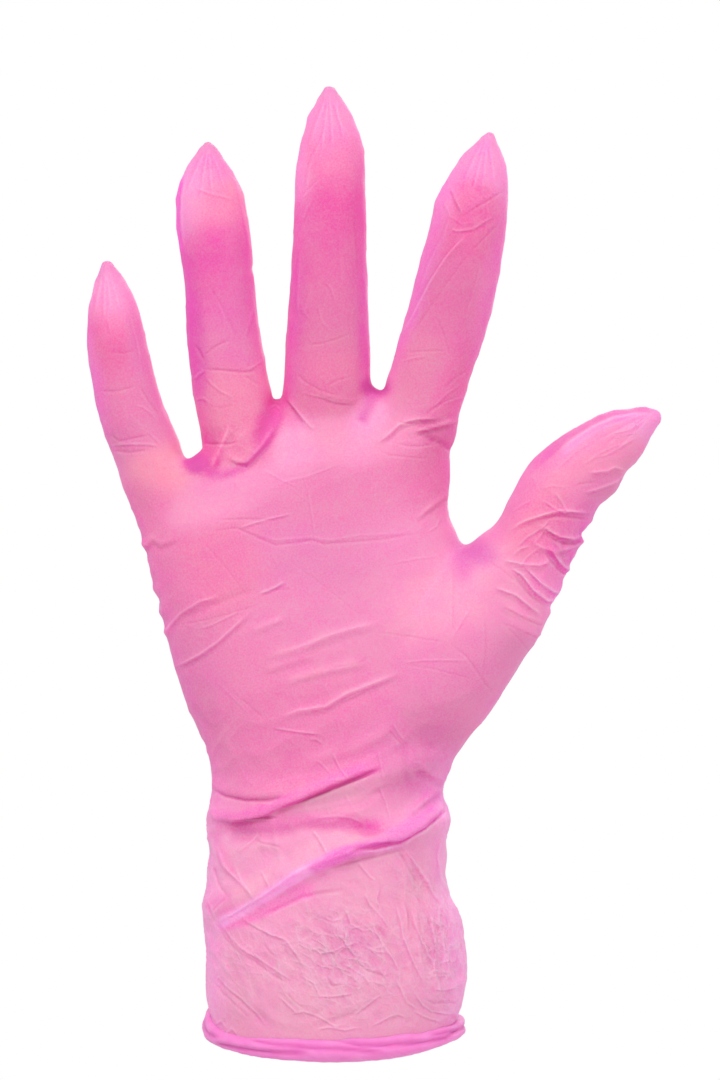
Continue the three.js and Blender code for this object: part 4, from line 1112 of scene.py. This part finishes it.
def loose_film(points, normals):
    """How the loose film lies in soft waves and crumples, in millimetres along its normals."""
    wander = np.stack([gradient_noise(points / WANDER_SIZE_MM, seed) for seed in WANDER_SEEDS], axis=1)
    wandered = points + WANDER_REACH_MM * wander
    regions = loose_regions(points, normals)
    lift = np.zeros(len(points))
    for wave in rows_of(LOOSE_WAVES):
        start = wandered if wave["wanders"] else points
        run = stretched(start, wave["way"], wave["along"], wave["across"])
        if wave["sharpness"]:
            form = ridges(run, wave["seed"], wave["sharpness"]) - wave["level"]
        else:
            form = gradient_noise(run, wave["seed"])
        lift += wave["height"] * regions[wave["region"]] * form
    return lift


def mesh_points(mesh):
    """A mesh's points in millimetres."""
    points = np.empty(len(mesh.vertices) * 3)
    mesh.vertices.foreach_get("co", points)
    return points.reshape(-1, 3) / MM


def set_mesh_points(mesh, points_mm):
    mesh.vertices.foreach_set("co", (points_mm * MM).ravel())
    mesh.update()


def mesh_normals(mesh):
    normals = np.empty(len(mesh.vertices) * 3)
    mesh.vertex_normals.foreach_get("vector", normals)
    return normals.reshape(-1, 3)


def shade_smooth(mesh):
    mesh.polygons.foreach_set("use_smooth", [True] * len(mesh.polygons))


def store(mesh, name, values):
    """Keeps one number for each vertex of a mesh under a name that materials read."""
    mesh.attributes.new(name, "FLOAT", "POINT").data.foreach_set("value", values.astype(np.float32))


def store_outside(mesh, shown, name, values, lining):
    """Keeps numbers on the vertices that are shown outside, and one plain number on the lining's."""
    whole = np.full(len(mesh.vertices), float(lining))
    whole[shown] = values
    store(mesh, name, whole)


def mesh_of(shape, name):
    """A mesh from a finished shape, which is freed."""
    mesh = bpy.data.meshes.new(name)
    shape.to_mesh(mesh)
    shape.free()
    return mesh


def rim_of(shape):
    return [edge for edge in shape.edges if edge.is_boundary]


def joined_to(start):
    """All the vertices that edges join to one."""
    found, waiting = {start}, [start]
    while waiting:
        for edge in waiting.pop().link_edges:
            for vert in edge.verts:
                if vert not in found:
                    found.add(vert)
                    waiting.append(vert)
    return found


def side_of_film(inner):
    """The moulded film's outer side alone, or its inner side, its mouth lengthened and closed."""
    shape = bmesh.new()
    shape.from_mesh(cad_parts["glove_film"].data)
    bmesh.ops.remove_doubles(shape, verts=shape.verts, dist=WELD_MM * MM)
    foot_top = (FOOT_Z_MM + FOOT_SLACK_MM) * MM
    foot = [
        face
        for face in shape.faces
        if face.calc_center_median().z < foot_top and face.normal.z < FOOT_NORMAL_Z
    ]
    bmesh.ops.delete(shape, geom=foot, context="FACES")
    widest = max(shape.verts, key=lambda vert: abs(vert.co.x) + abs(vert.co.y))
    outside = joined_to(widest)
    other = [vert for vert in shape.verts if (vert in outside) == inner]
    bmesh.ops.delete(shape, geom=other, context="VERTS")
    lengthened = bmesh.ops.extrude_edge_only(shape, edges=rim_of(shape))["geom"]
    lower = [part for part in lengthened if isinstance(part, bmesh.types.BMVert)]
    bmesh.ops.translate(shape, verts=lower, vec=(0, 0, -MOUTH_EXTENSION_MM * MM))
    bmesh.ops.holes_fill(shape, edges=rim_of(shape), sides=0)
    bmesh.ops.recalc_face_normals(shape, faces=shape.faces)
    return mesh_of(shape, "side")


def evened(mesh, voxel_mm, smoothings):
    """The same side with even faces, its facets smoothed away, open again at the mouth."""
    holder = bpy.data.objects.new("side", mesh)
    bpy.context.scene.collection.objects.link(holder)
    remesh = holder.modifiers.new("even", "REMESH")
    remesh.mode = "VOXEL"
    remesh.voxel_size = voxel_mm * MM
    smooth = holder.modifiers.new("smooth", "SMOOTH")
    smooth.factor = 0.5
    smooth.iterations = smoothings
    held = holder.evaluated_get(bpy.context.evaluated_depsgraph_get())
    shape = bmesh.new()
    shape.from_mesh(held.to_mesh())
    bpy.data.objects.remove(holder)
    bmesh.ops.bisect_plane(
        shape,
        geom=[*shape.verts, *shape.edges, *shape.faces],
        plane_co=(0, 0, MOUTH_Z_MM * MM),
        plane_no=(0, 0, -1),
        clear_outer=True,
    )
    bmesh.ops.recalc_face_normals(shape, faces=shape.faces)
    return shape


def with_lining(outer):
    """Adds the inner side of the film, turned inwards, and joins the two at the mouth."""
    lining = evened(side_of_film(inner=True), LINING_VOXEL_MM, LINING_SMOOTHINGS)
    inset = [(vert, vert.normal.copy()) for vert in lining.verts]
    for vert, normal in inset:
        if vert.co.z < (MOUTH_Z_MM + LEVEL_INSET_MM) * MM:
            normal.z = 0
            normal.normalize()
        vert.co -= normal * LINING_INSET_MM * MM
    bmesh.ops.reverse_faces(lining, faces=lining.faces)
    outer.from_mesh(mesh_of(lining, "lining"))
    joined = bmesh.ops.bridge_loops(outer, edges=rim_of(outer))["faces"]
    bmesh.ops.triangulate(outer, faces=[face for face in joined if len(face.verts) > 4])
    return outer


def film_mesh():
    """The film before its folds: the outer side, finer towards the palm, and the lining."""
    outer = evened(side_of_film(inner=False), OUTER_VOXEL_MM, OUTER_SMOOTHINGS)
    palm_side = {face for face in outer.faces if face.normal.y < PALM_SIDE_NORMAL_Y}
    finer = [edge for edge in outer.edges if any(face in palm_side for face in edge.link_faces)]
    bmesh.ops.subdivide_edges(
        outer, edges=finer, cuts=1, use_grid_fill=True, smooth=DIVIDED_ROUNDNESS
    )
    outside = outer.verts.layers.float.new("outside")
    for vert in outer.verts:
        vert[outside] = 1
    return mesh_of(with_lining(outer), "film")


def store_film_tones(mesh, shown, points, normals, palm, moves):
    """Keeps on the mesh what the film's material reads at each vertex."""
    tones = shifted_tones(tones_at(points, normals), points, normals, moves, mesh_normals(mesh)[shown])
    for name, values in tones.items():
        store_outside(mesh, shown, name, values, PLAIN_TONE[name])
    store_outside(mesh, shown, "crumple", crumpled(points), 0)
    for index, layer in enumerate(crease_lines(points, palm)):
        store_outside(mesh, shown, f"crease_across_{index}", layer["across"], CREASE_FAR_WIDTHS)
        store_outside(mesh, shown, f"crease_height_{index}", layer["height"], 0)


def shaped_film():
    """The film with its folds, creases and waves."""
    mesh = film_mesh()
    outside = np.empty(len(mesh.vertices), np.float32)
    mesh.attributes["outside"].data.foreach_get("value", outside)
    shown = np.nonzero(outside > 0.5)[0]
    everything = grabbed(mesh_points(mesh))
    points = everything[shown]
    normals = mesh_normals(mesh)[shown]
    palm = smoothstep(-normals[:, 1], *SIDE_STEP)
    back = smoothstep(normals[:, 1], *SIDE_STEP)
    clear_of_roll = smoothstep(points[:, 2], *CLEAR_OF_ROLL_Z_MM)
    moves = normals * OUTER_SWELL_MM
    moves += lifted_by_folds(points, normals, rows_of(FOLDS) + cuff_folds(), palm)
    moves += lifted_by_folds(points, normals, rows_of(BACK_FOLDS) + knuckle_folds(), back)
    moves += normals * loose_film(points, normals)[:, None]
    everything[shown] += moves * clear_of_roll[:, None]
    set_mesh_points(mesh, everything)
    store_film_tones(mesh, shown, points, normals, palm, moves)
    shade_smooth(mesh)
    return mesh


film = bpy.data.objects.new("film", shaped_film())
bpy.context.scene.collection.objects.link(film)
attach(film, "root")
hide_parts("glove_film")

# The rolled edge: the film rolled up on itself, in strands that wind about each other.
ROLL_STEPS = 360
ROLL_SECTION_STEPS = 28
ROLL_GUIDE_RADIUS = 10
ROLL_THICKNESS_MM = 2.2
ROLL_SQUARENESS = 2.3
ROLL_SPINE_SHIFT_X_MM = -0.2
ROLL_SPINE_HALF_WIDTH_MM = 30.6
ROLL_SPINE_HALF_DEPTH_MM = 22.4
# Height of the roll's middle and half its height, in millimetres, by the angle round the cuff in degrees:
# 0 is the thumb's side and 270 the middle of the palm's side.
ROLL_RUN = [
    ["angle", "middle", "half_height"],
    [0, 4.3, 2.1],
    [45, 3.3, 2.4],
    [90, 2.6, 2.6],
    [125, 3.2, 2.6],
    [160, 4.6, 2.9],
    [180, 5.1, 3.5],
    [195, 3.6, 2.5],
    [218, 2.7, 1.9],
    [240, 2.1, 2.4],
    [270, 1.8, 2.8],
    [300, 2.6, 2.8],
    [325, 3.8, 2.1],
    [345, 3.9, 2.0],
]
ROLL_RUN_SOFTNESS_DEG = 9
ROLL_RUN_SAMPLES = 7
# Where two strands meet in a groove, as pairs of the way round and the place on the section, both in
# degrees, 0 outwards and 90 up. depth is the share of the section's size.
STRAND_GROOVES = [
    ["depth", "path"],
    [0.26, [(206, -34), (216, -24), (236, -14), (264, -2)]],
    [0.32, [(266, 88), (279, 36), (300, 18), (325, 0), (347, 44)]],
    [0.26, [(150, 52), (180, 24), (200, 6), (214, 24)]],
    [0.24, [(312, 44), (330, 34), (356, 8), (380, -20)]],
    [0.16, [(230, 62), (250, 34), (272, 20), (292, -16)]],
    [0.26, [(20, -20), (60, 12), (100, 48)]],
    [0.26, [(84, 40), (130, 4), (170, -34)]],
]
GROOVE_HALF_WIDTH_DEG = 13
# The strand's swell on both sides of a groove.
SHOULDER_DEG = 38
SHOULDER_HALF_WIDTH_DEG = 22
SHOULDER_SHARE = 0.10
STRAND_END_SHARE = 0.15
# The roll's uneven thickness, as shares of its size, and the wave along its upper side.
ROLL_UNEVENNESS = [
    ["share", "fineness", "seed"],
    [0.05, 1, 41],
    [0.04, 3, 42],
]
ROLL_WAVES_ROUND = 6
ROLL_WAVES_UP = 0.6
TOP_WAVE_MM = 0.25
TOP_WAVE_SEED = 43


def rolled_mesh():
    """A plain ring, spun from a circle of radius 1 about a guide circle."""
    shape = bmesh.new()
    section = bmesh.ops.create_circle(shape, segments=ROLL_SECTION_STEPS, radius=1.0)["verts"]
    upright = Matrix.Rotation(math.radians(90), 3, "X")
    bmesh.ops.rotate(shape, verts=section, matrix=upright, cent=(0, 0, 0))
    bmesh.ops.translate(shape, verts=section, vec=(ROLL_GUIDE_RADIUS, 0, 0))
    bmesh.ops.spin(
        shape,
        geom=[*shape.verts, *shape.edges],
        axis=(0, 0, 1),
        cent=(0, 0, 0),
        angle=math.tau,
        steps=ROLL_STEPS,
        use_merge=True,
    )
    bmesh.ops.remove_doubles(shape, verts=shape.verts, dist=1e-5)
    bmesh.ops.recalc_face_normals(shape, faces=shape.faces)
    return mesh_of(shape, "cuff_edge")


def round_the_cuff(angle, column):
    """A column of ROLL_RUN at angles in degrees, smoothly."""
    rows = rows_of(ROLL_RUN)
    knots = [row["angle"] for row in rows]
    values = [row[column] for row in rows]
    turns = np.linspace(-ROLL_RUN_SOFTNESS_DEG, ROLL_RUN_SOFTNESS_DEG, ROLL_RUN_SAMPLES)
    return np.mean([np.interp(angle + turn, knots, values, period=360) for turn in turns], axis=0)


def wound_strands(angle, place):
    """The size of the roll's section where strands wind about each other, and how deep in a groove
    each place lies."""
    size = np.ones(len(angle))
    groove = np.zeros(len(angle))
    for strand in rows_of(STRAND_GROOVES):
        way, sections = np.array(strand["path"], float).T
        run = way[0] + (angle - way[0]) % 360
        fade = end_fade((run - way[0]) / (way[-1] - way[0]), STRAND_END_SHARE)
        apart = (place - np.interp(run, way, sections) + 180) % 360 - 180
        line = fade * np.exp(-((apart / GROOVE_HALF_WIDTH_DEG) ** 2))
        shoulder = np.exp(-(((np.abs(apart) - SHOULDER_DEG) / SHOULDER_HALF_WIDTH_DEG) ** 2))
        size += SHOULDER_SHARE * fade * shoulder - strand["depth"] * line
        groove = np.maximum(groove, line)
    return size, groove


def superellipse(wave, half):
    """One coordinate of the roll's spine, from the cosine or sine of the way round."""
    return half * np.sign(wave) * np.abs(wave) ** (2 / ROLL_SQUARENESS)


def shaped_roll():
    """The roll: the plain ring laid round the cuff, with its strands."""
    mesh = rolled_mesh()
    x, y, up = (mesh_points(mesh) * MM).T
    turn = np.arctan2(y, x)
    angle = np.degrees(turn) % 360
    place = np.degrees(np.arctan2(up, np.hypot(x, y) - ROLL_GUIDE_RADIUS))
    size, groove = wound_strands(angle, place)
    cos, sin = np.cos(turn), np.sin(turn)
    spine_x = ROLL_SPINE_SHIFT_X_MM + superellipse(cos, ROLL_SPINE_HALF_WIDTH_MM)
    spine_y = superellipse(sin, ROLL_SPINE_HALF_DEPTH_MM)
    away = np.stack([cos / ROLL_SPINE_HALF_WIDTH_MM, sin / ROLL_SPINE_HALF_DEPTH_MM], axis=1)
    away /= np.linalg.norm(away, axis=1, keepdims=True)
    waves = np.stack([cos * ROLL_WAVES_ROUND, sin * ROLL_WAVES_ROUND, up * ROLL_WAVES_UP], axis=1)
    size *= 1 + sum(
        row["share"] * gradient_noise(waves * row["fineness"], row["seed"])
        for row in rows_of(ROLL_UNEVENNESS)
    )
    thick = ROLL_THICKNESS_MM * size * np.cos(np.radians(place))
    tall = round_the_cuff(angle, "half_height") * size * np.sin(np.radians(place))
    top_wave = TOP_WAVE_MM * gradient_noise(waves, TOP_WAVE_SEED) * (tall > 0)
    points = np.stack(
        [
            spine_x + away[:, 0] * thick,
            spine_y + away[:, 1] * thick,
            round_the_cuff(angle, "middle") + tall + top_wave,
        ],
        axis=1,
    )
    set_mesh_points(mesh, points)
    store(mesh, "groove", groove)
    shade_smooth(mesh)
    return mesh


cuff_edge = bpy.data.objects.new("cuff_edge", shaped_roll())
bpy.context.scene.collection.objects.link(cuff_edge)
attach(cuff_edge, "root")
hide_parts("cuff_roll")


def linear(hex_colour):
    """A colour's linear red, green, blue and alpha."""
    channels = [int(hex_colour[i : i + 2], 16) / 255 for i in (0, 2, 4)]
    return (*[c / 12.92 if c < 0.04045 else ((c + 0.055) / 1.055) ** 2.4 for c in channels], 1)


class Wire:
    """A shader socket that takes part in sums: each operator adds the Math node for it."""

    def __init__(self, bench, socket):
        self.bench = bench
        self.socket = socket

    def joined(self, operation, left, right):
        return self.bench.add("ShaderNodeMath", {"operation": operation}, {0: left, 1: right})

    def __add__(self, other):
        return self.joined("ADD", self, other)

    def __radd__(self, other):
        return self.joined("ADD", other, self)

    def __sub__(self, other):
        return self.joined("SUBTRACT", self, other)

    def __rsub__(self, other):
        return self.joined("SUBTRACT", other, self)

    def __mul__(self, other):
        return self.joined("MULTIPLY", self, other)

    def __rmul__(self, other):
        return self.joined("MULTIPLY", other, self)

    def __neg__(self):
        return self.joined("MULTIPLY", self, -1)

    def least(self, floor):
        return self.joined("MAXIMUM", self, floor)

    def absolute(self):
        return self.joined("ABSOLUTE", self, 0)


class Bench:
    """The nodes of one material."""

    def __init__(self, name):
        self.material = bpy.data.materials.new(name)
        self.material.use_nodes = True
        self.tree = self.material.node_tree
        self.shader = self.tree.nodes["Principled BSDF"]

    def add(self, kind, settings, inputs, output=0):
        """Adds a node: first its settings, then the values or wires of its sockets."""
        node = self.tree.nodes.new(kind)
        for name, value in settings.items():
            setattr(node, name, value)
        for name, value in inputs.items():
            self.feed(node.inputs[name], value)
        return Wire(self, node.outputs[output])

    def feed(self, socket, value):
        if isinstance(value, Wire):
            self.tree.links.new(value.socket, socket)
        else:
            socket.default_value = value

    def place(self):
        return self.add("ShaderNodeTexCoord", {}, {}, "Object")

    def stored(self, name):
        return self.add("ShaderNodeAttribute", {"attribute_name": name}, {}, "Fac")

    def turned(self, place, stretch, turn):
        """Places for a pattern that is stretched by shares and then turned by radians."""
        return self.add(
            "ShaderNodeMapping",
            {"vector_type": "TEXTURE"},
            {"Vector": place, "Rotation": turn, "Scale": stretch},
        )

    def noise(self, place, size_mm, detail=2.0, stretch=(1, 1, 1), turn=(0, 0, 0), bend=0.0):
        """Noise from 0 to 1 whose features are size_mm across."""
        return self.add(
            "ShaderNodeTexNoise",
            {},
            {
                "Vector": self.turned(place, stretch, turn),
                "Scale": 1 / (size_mm * MM),
                "Detail": detail,
                "Roughness": 0.5,
                "Distortion": bend,
            },
        )

    def pleats(self, place, size_mm, stretch, turn):
        """Thin crossing lines from 0 to 1, about size_mm apart."""
        noise = self.noise(place, size_mm, 1.0, stretch, turn, PLEAT_BEND)
        line = (1 - (noise - 0.5).absolute() * PLEAT_FINENESS).least(0)
        return line * line

    def bent(self, place, size_mm, reach_mm):
        """Places moved a little every way by noise, so that what is drawn on them runs unevenly."""
        noise = self.add(
            "ShaderNodeTexNoise",
            {},
            {"Vector": place, "Scale": 1 / (size_mm * MM), "Detail": 2.0},
            "Color",
        )
        return self.add(
            "ShaderNodeVectorMath",
            {"operation": "MULTIPLY_ADD"},
            {0: noise, 1: (reach_mm * MM,) * 3, 2: place},
        )

    def facets(self, place, size_mm, stretch, turn):
        """The distance from the nearest fold line of film crushed into flat facets, in millimetres."""
        apart = self.add(
            "ShaderNodeTexVoronoi",
            {"feature": "DISTANCE_TO_EDGE"},
            {"Vector": self.turned(place, stretch, turn), "Scale": 1 / (size_mm * MM)},
            "Distance",
        )
        return apart * size_mm

    def falloff(self, distance):
        """A bell that is 1 at no distance."""
        return self.add("ShaderNodeMath", {"operation": "EXPONENT"}, {0: -(distance * distance)})

    def blend(self, share, first, second):
        """A colour between two."""
        return self.add(
            "ShaderNodeMix",
            {"data_type": "RGBA"},
            {"Factor": share, 6: first, 7: second},
            2,
        )

    def scaled(self, colour, share):
        """A colour times a number."""
        return self.add(
            "ShaderNodeVectorMath",
            {"operation": "SCALE"},
            {0: colour, "Scale": share},
        )

    def bumped(self, height_mm):
        return self.add("ShaderNodeBump", {}, {"Strength": 1.0, "Distance": MM, "Height": height_mm})

    def finish(self, **inputs):
        """The material, after the shader's sockets are fed."""
        for name, value in inputs.items():
            self.feed(self.shader.inputs[name.replace("_", " ")], value)
        return self.material


# The four corners of the film's range of pink, each at full light.
PALE_WARM = linear("ffbac6")
PALE_COOL = linear("fdbde3")
DEEP_WARM = linear("f05c9f")
DEEP_COOL = linear("f060c3")
FULL_SHADE = 0.88
# What all the vinyl shares: a soft satin and a little light that passes through the film.
VINYL_SHEEN = 0.42
VINYL_FINISH = {
    "Specular_IOR_Level": 0.10,
    "Subsurface_Weight": 0.38,
    "Subsurface_Radius": (1.0, 0.25, 0.5),
    "Subsurface_Scale": 0.0024,
}
VINYL_UNEVENNESS = 0.10
# The pleats of loose film: how far apart they lie in millimetres, the stretch and turn of the pattern,
# and their strength on smooth film and what crumpling adds to it.
PLEATS = [
    ["apart", "stretch", "turn", "smooth", "crumpled"],
    [5.5, (1, 1, 3.2), -0.5, 0.03, 0.10],
    [4.0, (2.6, 1, 1), -0.35, 0.03, 0.05],
]
PLEAT_FINENESS = 9
PLEAT_BEND = 0.6
# The crumpled cuff's facets, in three sizes: size and the bending of their lines in millimetres, the
# stretch and turn of the pattern, the thinness and strength of the fold lines, and the relief between,
# which also paints shade as a deeper pink in the facets' hollows.
CRUSHED_FACETS = [
    ["size", "bend_size", "bend", "stretch", "turn", "thinness", "line", "relief"],
    [7, 8, 5, (1, 1, 2.0), -0.55, 1.9, 0.26, 0.18],
    [2.6, 8, 5, (2.0, 1, 1), 0.5, 3.0, 0.24, 0.26],
    [1.3, 3, 2, (1, 1, 1.7), -0.35, 4.0, 0.15, 0.22],
]
# The film's uneven patterns: their size in millimetres, how finely they are broken up, their stretch and
# turn, and what counts as their middle.
FILM_NOISES = [
    ["pattern", "size", "detail", "stretch", "turn", "middle"],
    ["mottle", 6, 3.0, (1, 1, 1), 0, 0.5],
    ["cloud", 22, 1.0, (1, 1, 1), 0, 0.5],
    ["grain", 0.45, 2.0, (1, 1, 1), 0, 0.5],
    ["waves", 4.5, 2.0, (2.0, 1, 1), 0.4, 0],
]
# Along creases and pleats a painted highlight makes the film paler and cooler: along a crease a little
# less where all is crumpled, and along a pleat a little more.
CREASE_HIGHLIGHT = 1.15
CREASE_HIGHLIGHT_LOSS = 0.25
PLEAT_HIGHLIGHT = 0.4
# What each pattern adds to the film's tones, and to its relief in millimetres. The shade of lines is
# painted light along the creases, shadows are painted shadow lines below them, the depth of relief is
# painted shade in the facets' hollows, and the last row paints the highlight along creases and pleats.
FILM_PATTERNS = [
    ["pattern", "depth", "cool", "shade", "height"],
    ["mottle", 0.30, 0.18, 0.06, 0],
    ["cloud", 0.10, 0.22, 0, 0],
    ["grain", 0.70, 0, 0.16, 0.03],
    ["waves", 0, 0, 0, 0.12],
    ["lines", 0, 0, 0.2, 0.8],
    ["shadows", 0.8, 0, 0, -0.25],
    ["pleats", 0, 0, 0, 0.8],
    ["relief", 0.8, 0, 0, -0.6],
    # Paler and cooler pink: the painted highlight along creases and pleats.
    ["tint", -0.66, 0.35, 0, 0],
]


def crease_marks(bench):
    """The fine creases as lines, and the shadow line below each."""
    lines = 0
    shadows = 0
    for layer in range(CREASE_LAYERS):
        across = bench.stored(f"crease_across_{layer}")
        height = bench.stored(f"crease_height_{layer}")
        lines = lines + bench.falloff(across) * height
        shadows = shadows + bench.falloff(across - CREASE_SHADOW_WIDTHS) * height
    return lines, shadows


def crumple_marks(bench, place, crumple):
    """The pleats of loose film with its crushed fold lines, and the relief between them, also painted
    shade.
    """
    pleats = 0
    for row in rows_of(PLEATS):
        pleat = bench.pleats(place, row["apart"], row["stretch"], (0, row["turn"], 0))
        pleats = pleats + pleat * (row["smooth"] + crumple * row["crumpled"])
    crushed = crumple * crumple
    fold_lines = 0
    relief = 0
    for row in rows_of(CRUSHED_FACETS):
        loose = bench.bent(place, row["bend_size"], row["bend"])
        apart = bench.facets(loose, row["size"], row["stretch"], (0, row["turn"], 0))
        fold_lines = fold_lines + (1 - apart * row["thinness"]).least(0) * row["line"]
        relief = relief + apart * row["relief"]
    return pleats + crushed * fold_lines, crushed * relief


def vinyl_film():
    """The film's pink, from its stored tones and its patterns, with painted light and shade."""
    bench = Bench("vinyl_film")
    place = bench.place()
    crumple = bench.stored("crumple")
    lines, shadows = crease_marks(bench)
    pleats, relief = crumple_marks(bench, place, crumple)
    # A painted highlight along the creases, a little weaker where all is crumpled.
    lit_creases = lines * (CREASE_HIGHLIGHT - crumple * CREASE_HIGHLIGHT_LOSS)
    patterns = {
        "lines": lines,
        "shadows": shadows,
        "pleats": pleats,
        "relief": relief,
        # Painted highlight along creases and pleats.
        "tint": lit_creases + pleats * (PLEAT_HIGHLIGHT + crumple),
    }
    for row in rows_of(FILM_NOISES):
        noise = bench.noise(place, row["size"], row["detail"], row["stretch"], (0, row["turn"], 0))
        patterns[row["pattern"]] = noise - row["middle"]
    sums = {name: bench.stored(name) for name in PLAIN_TONE}
    sums["height"] = 0
    for row in rows_of(FILM_PATTERNS):
        for name in sums:
            if row[name]:
                sums[name] = sums[name] + patterns[row["pattern"]] * row[name]
    pale = bench.blend(sums["cool"], PALE_WARM, PALE_COOL)
    deep = bench.blend(sums["cool"], DEEP_WARM, DEEP_COOL)
    pink = bench.blend(sums["depth"], pale, deep)
    return bench.finish(
        Base_Color=bench.scaled(pink, sums["shade"] * FULL_SHADE),
        Roughness=VINYL_SHEEN + patterns["mottle"] * VINYL_UNEVENNESS,
        Normal=bench.bumped(sums["height"]),
        **VINYL_FINISH,
    )


# The roll's pink, mottled lighter, with a darker pink painted as shade in the grooves between its
# strands.
ROLL_PINK = linear("f47cca")
ROLL_GROOVE_SHADE_PINK = linear("e25fb4")
ROLL_LIGHT_PINK = linear("fda2de")
ROLL_GROOVE_SHADE_SHARE = 0.8
ROLL_MOTTLE_MM = 5
# The roll's fine creases: their length, detail and stretch, and their relief.
ROLL_CREASE_LENGTH_MM = 1.2
ROLL_CREASE_DETAIL = 3.0
ROLL_CREASE_STRETCH = (1, 1, 0.6)
ROLL_CREASE_MM = 0.12


def vinyl_roll():
    """The roll's stronger pink, with painted shade deeper in the grooves between its strands."""
    bench = Bench("vinyl_roll")
    place = bench.place()
    groove = bench.stored("groove")
    mottle = bench.noise(place, ROLL_MOTTLE_MM)
    colour = bench.blend(mottle, ROLL_PINK, ROLL_LIGHT_PINK)
    # Painted shade in the grooves between the strands.
    colour = bench.blend(groove * ROLL_GROOVE_SHADE_SHARE, colour, ROLL_GROOVE_SHADE_PINK)
    creases = bench.noise(place, ROLL_CREASE_LENGTH_MM, ROLL_CREASE_DETAIL, ROLL_CREASE_STRETCH)
    return bench.finish(
        Base_Color=bench.scaled(colour, FULL_SHADE),
        Roughness=VINYL_SHEEN + (mottle - 0.5) * VINYL_UNEVENNESS,
        Normal=bench.bumped(creases * ROLL_CREASE_MM),
        **VINYL_FINISH,
    )


film.data.materials.append(vinyl_film())
cuff_edge.data.materials.append(vinyl_roll())

# The studio: a pale floor well below the held-up glove, a bright even surround and two soft lamps in
# front, with a third behind. Places are in metres.
FLOOR_Z = -0.9
FLOOR_SIZE = 2.0
FLOOR_COLOUR = (0.9, 0.9, 0.9, 1)
FLOOR_ROUGHNESS = 0.9
WHITE = (1, 1, 1, 1)
SURROUND_LIGHT = 0.71
LAMP_AIM = (0, 0, 0.12)
LAMPS = [
    ["name", "place", "size", "power"],
    ["key", (-0.45, -0.9, 1.25), 0.9, 12.6],
    ["fill", (1.1, -1.2, 0.3), 1.2, 5.8],
    ["back", (0.5, 1.1, 0.7), 1.2, 6.0],
]


def pale_floor():
    bpy.ops.mesh.primitive_plane_add(size=FLOOR_SIZE, location=(0, 0, FLOOR_Z))
    floor = bpy.context.object
    floor.name = "floor"
    bench = Bench("pale_floor")
    floor.data.materials.append(bench.finish(Base_Color=FLOOR_COLOUR, Roughness=FLOOR_ROUGHNESS))


def surround():
    """An even light from all round, which the camera sees as plain white."""
    world = bpy.data.worlds.new("studio")
    bpy.context.scene.world = world
    world.use_nodes = True
    tree = world.node_tree
    lighting = tree.nodes["Background"]
    white = tree.nodes.new("ShaderNodeBackground")
    for background, strength in ((lighting, SURROUND_LIGHT), (white, 1.0)):
        background.inputs["Color"].default_value = WHITE
        background.inputs["Strength"].default_value = strength
    seen = tree.nodes.new("ShaderNodeLightPath")
    either = tree.nodes.new("ShaderNodeMixShader")
    tree.links.new(seen.outputs["Is Camera Ray"], either.inputs["Fac"])
    tree.links.new(lighting.outputs[0], either.inputs[1])
    tree.links.new(white.outputs[0], either.inputs[2])
    tree.links.new(either.outputs[0], tree.nodes["World Output"].inputs["Surface"])


def lamps():
    for row in rows_of(LAMPS):
        lamp = bpy.data.lights.new(row["name"], "AREA")
        lamp.size = row["size"]
        lamp.energy = row["power"]
        light = bpy.data.objects.new(row["name"], lamp)
        light.location = row["place"]
        aim = Vector(LAMP_AIM) - light.location
        light.rotation_euler = aim.to_track_quat("-Z", "Y").to_euler()
        bpy.context.scene.collection.objects.link(light)


def camera():
    lens = bpy.data.cameras.new("camera")
    lens.sensor_width = SENSOR_MM
    lens.lens = SENSOR_MM * -CAMERA_MM[1] / VIEW_MM[1]
    eye = bpy.data.objects.new("camera", lens)
    eye.location = Vector(CAMERA_MM) * MM
    eye.rotation_euler = (math.radians(90), 0, 0)
    bpy.context.scene.collection.objects.link(eye)
    bpy.context.scene.camera = eye


pale_floor()
surround()
lamps()
camera()
bpy.context.scene.view_settings.view_transform = "Standard"
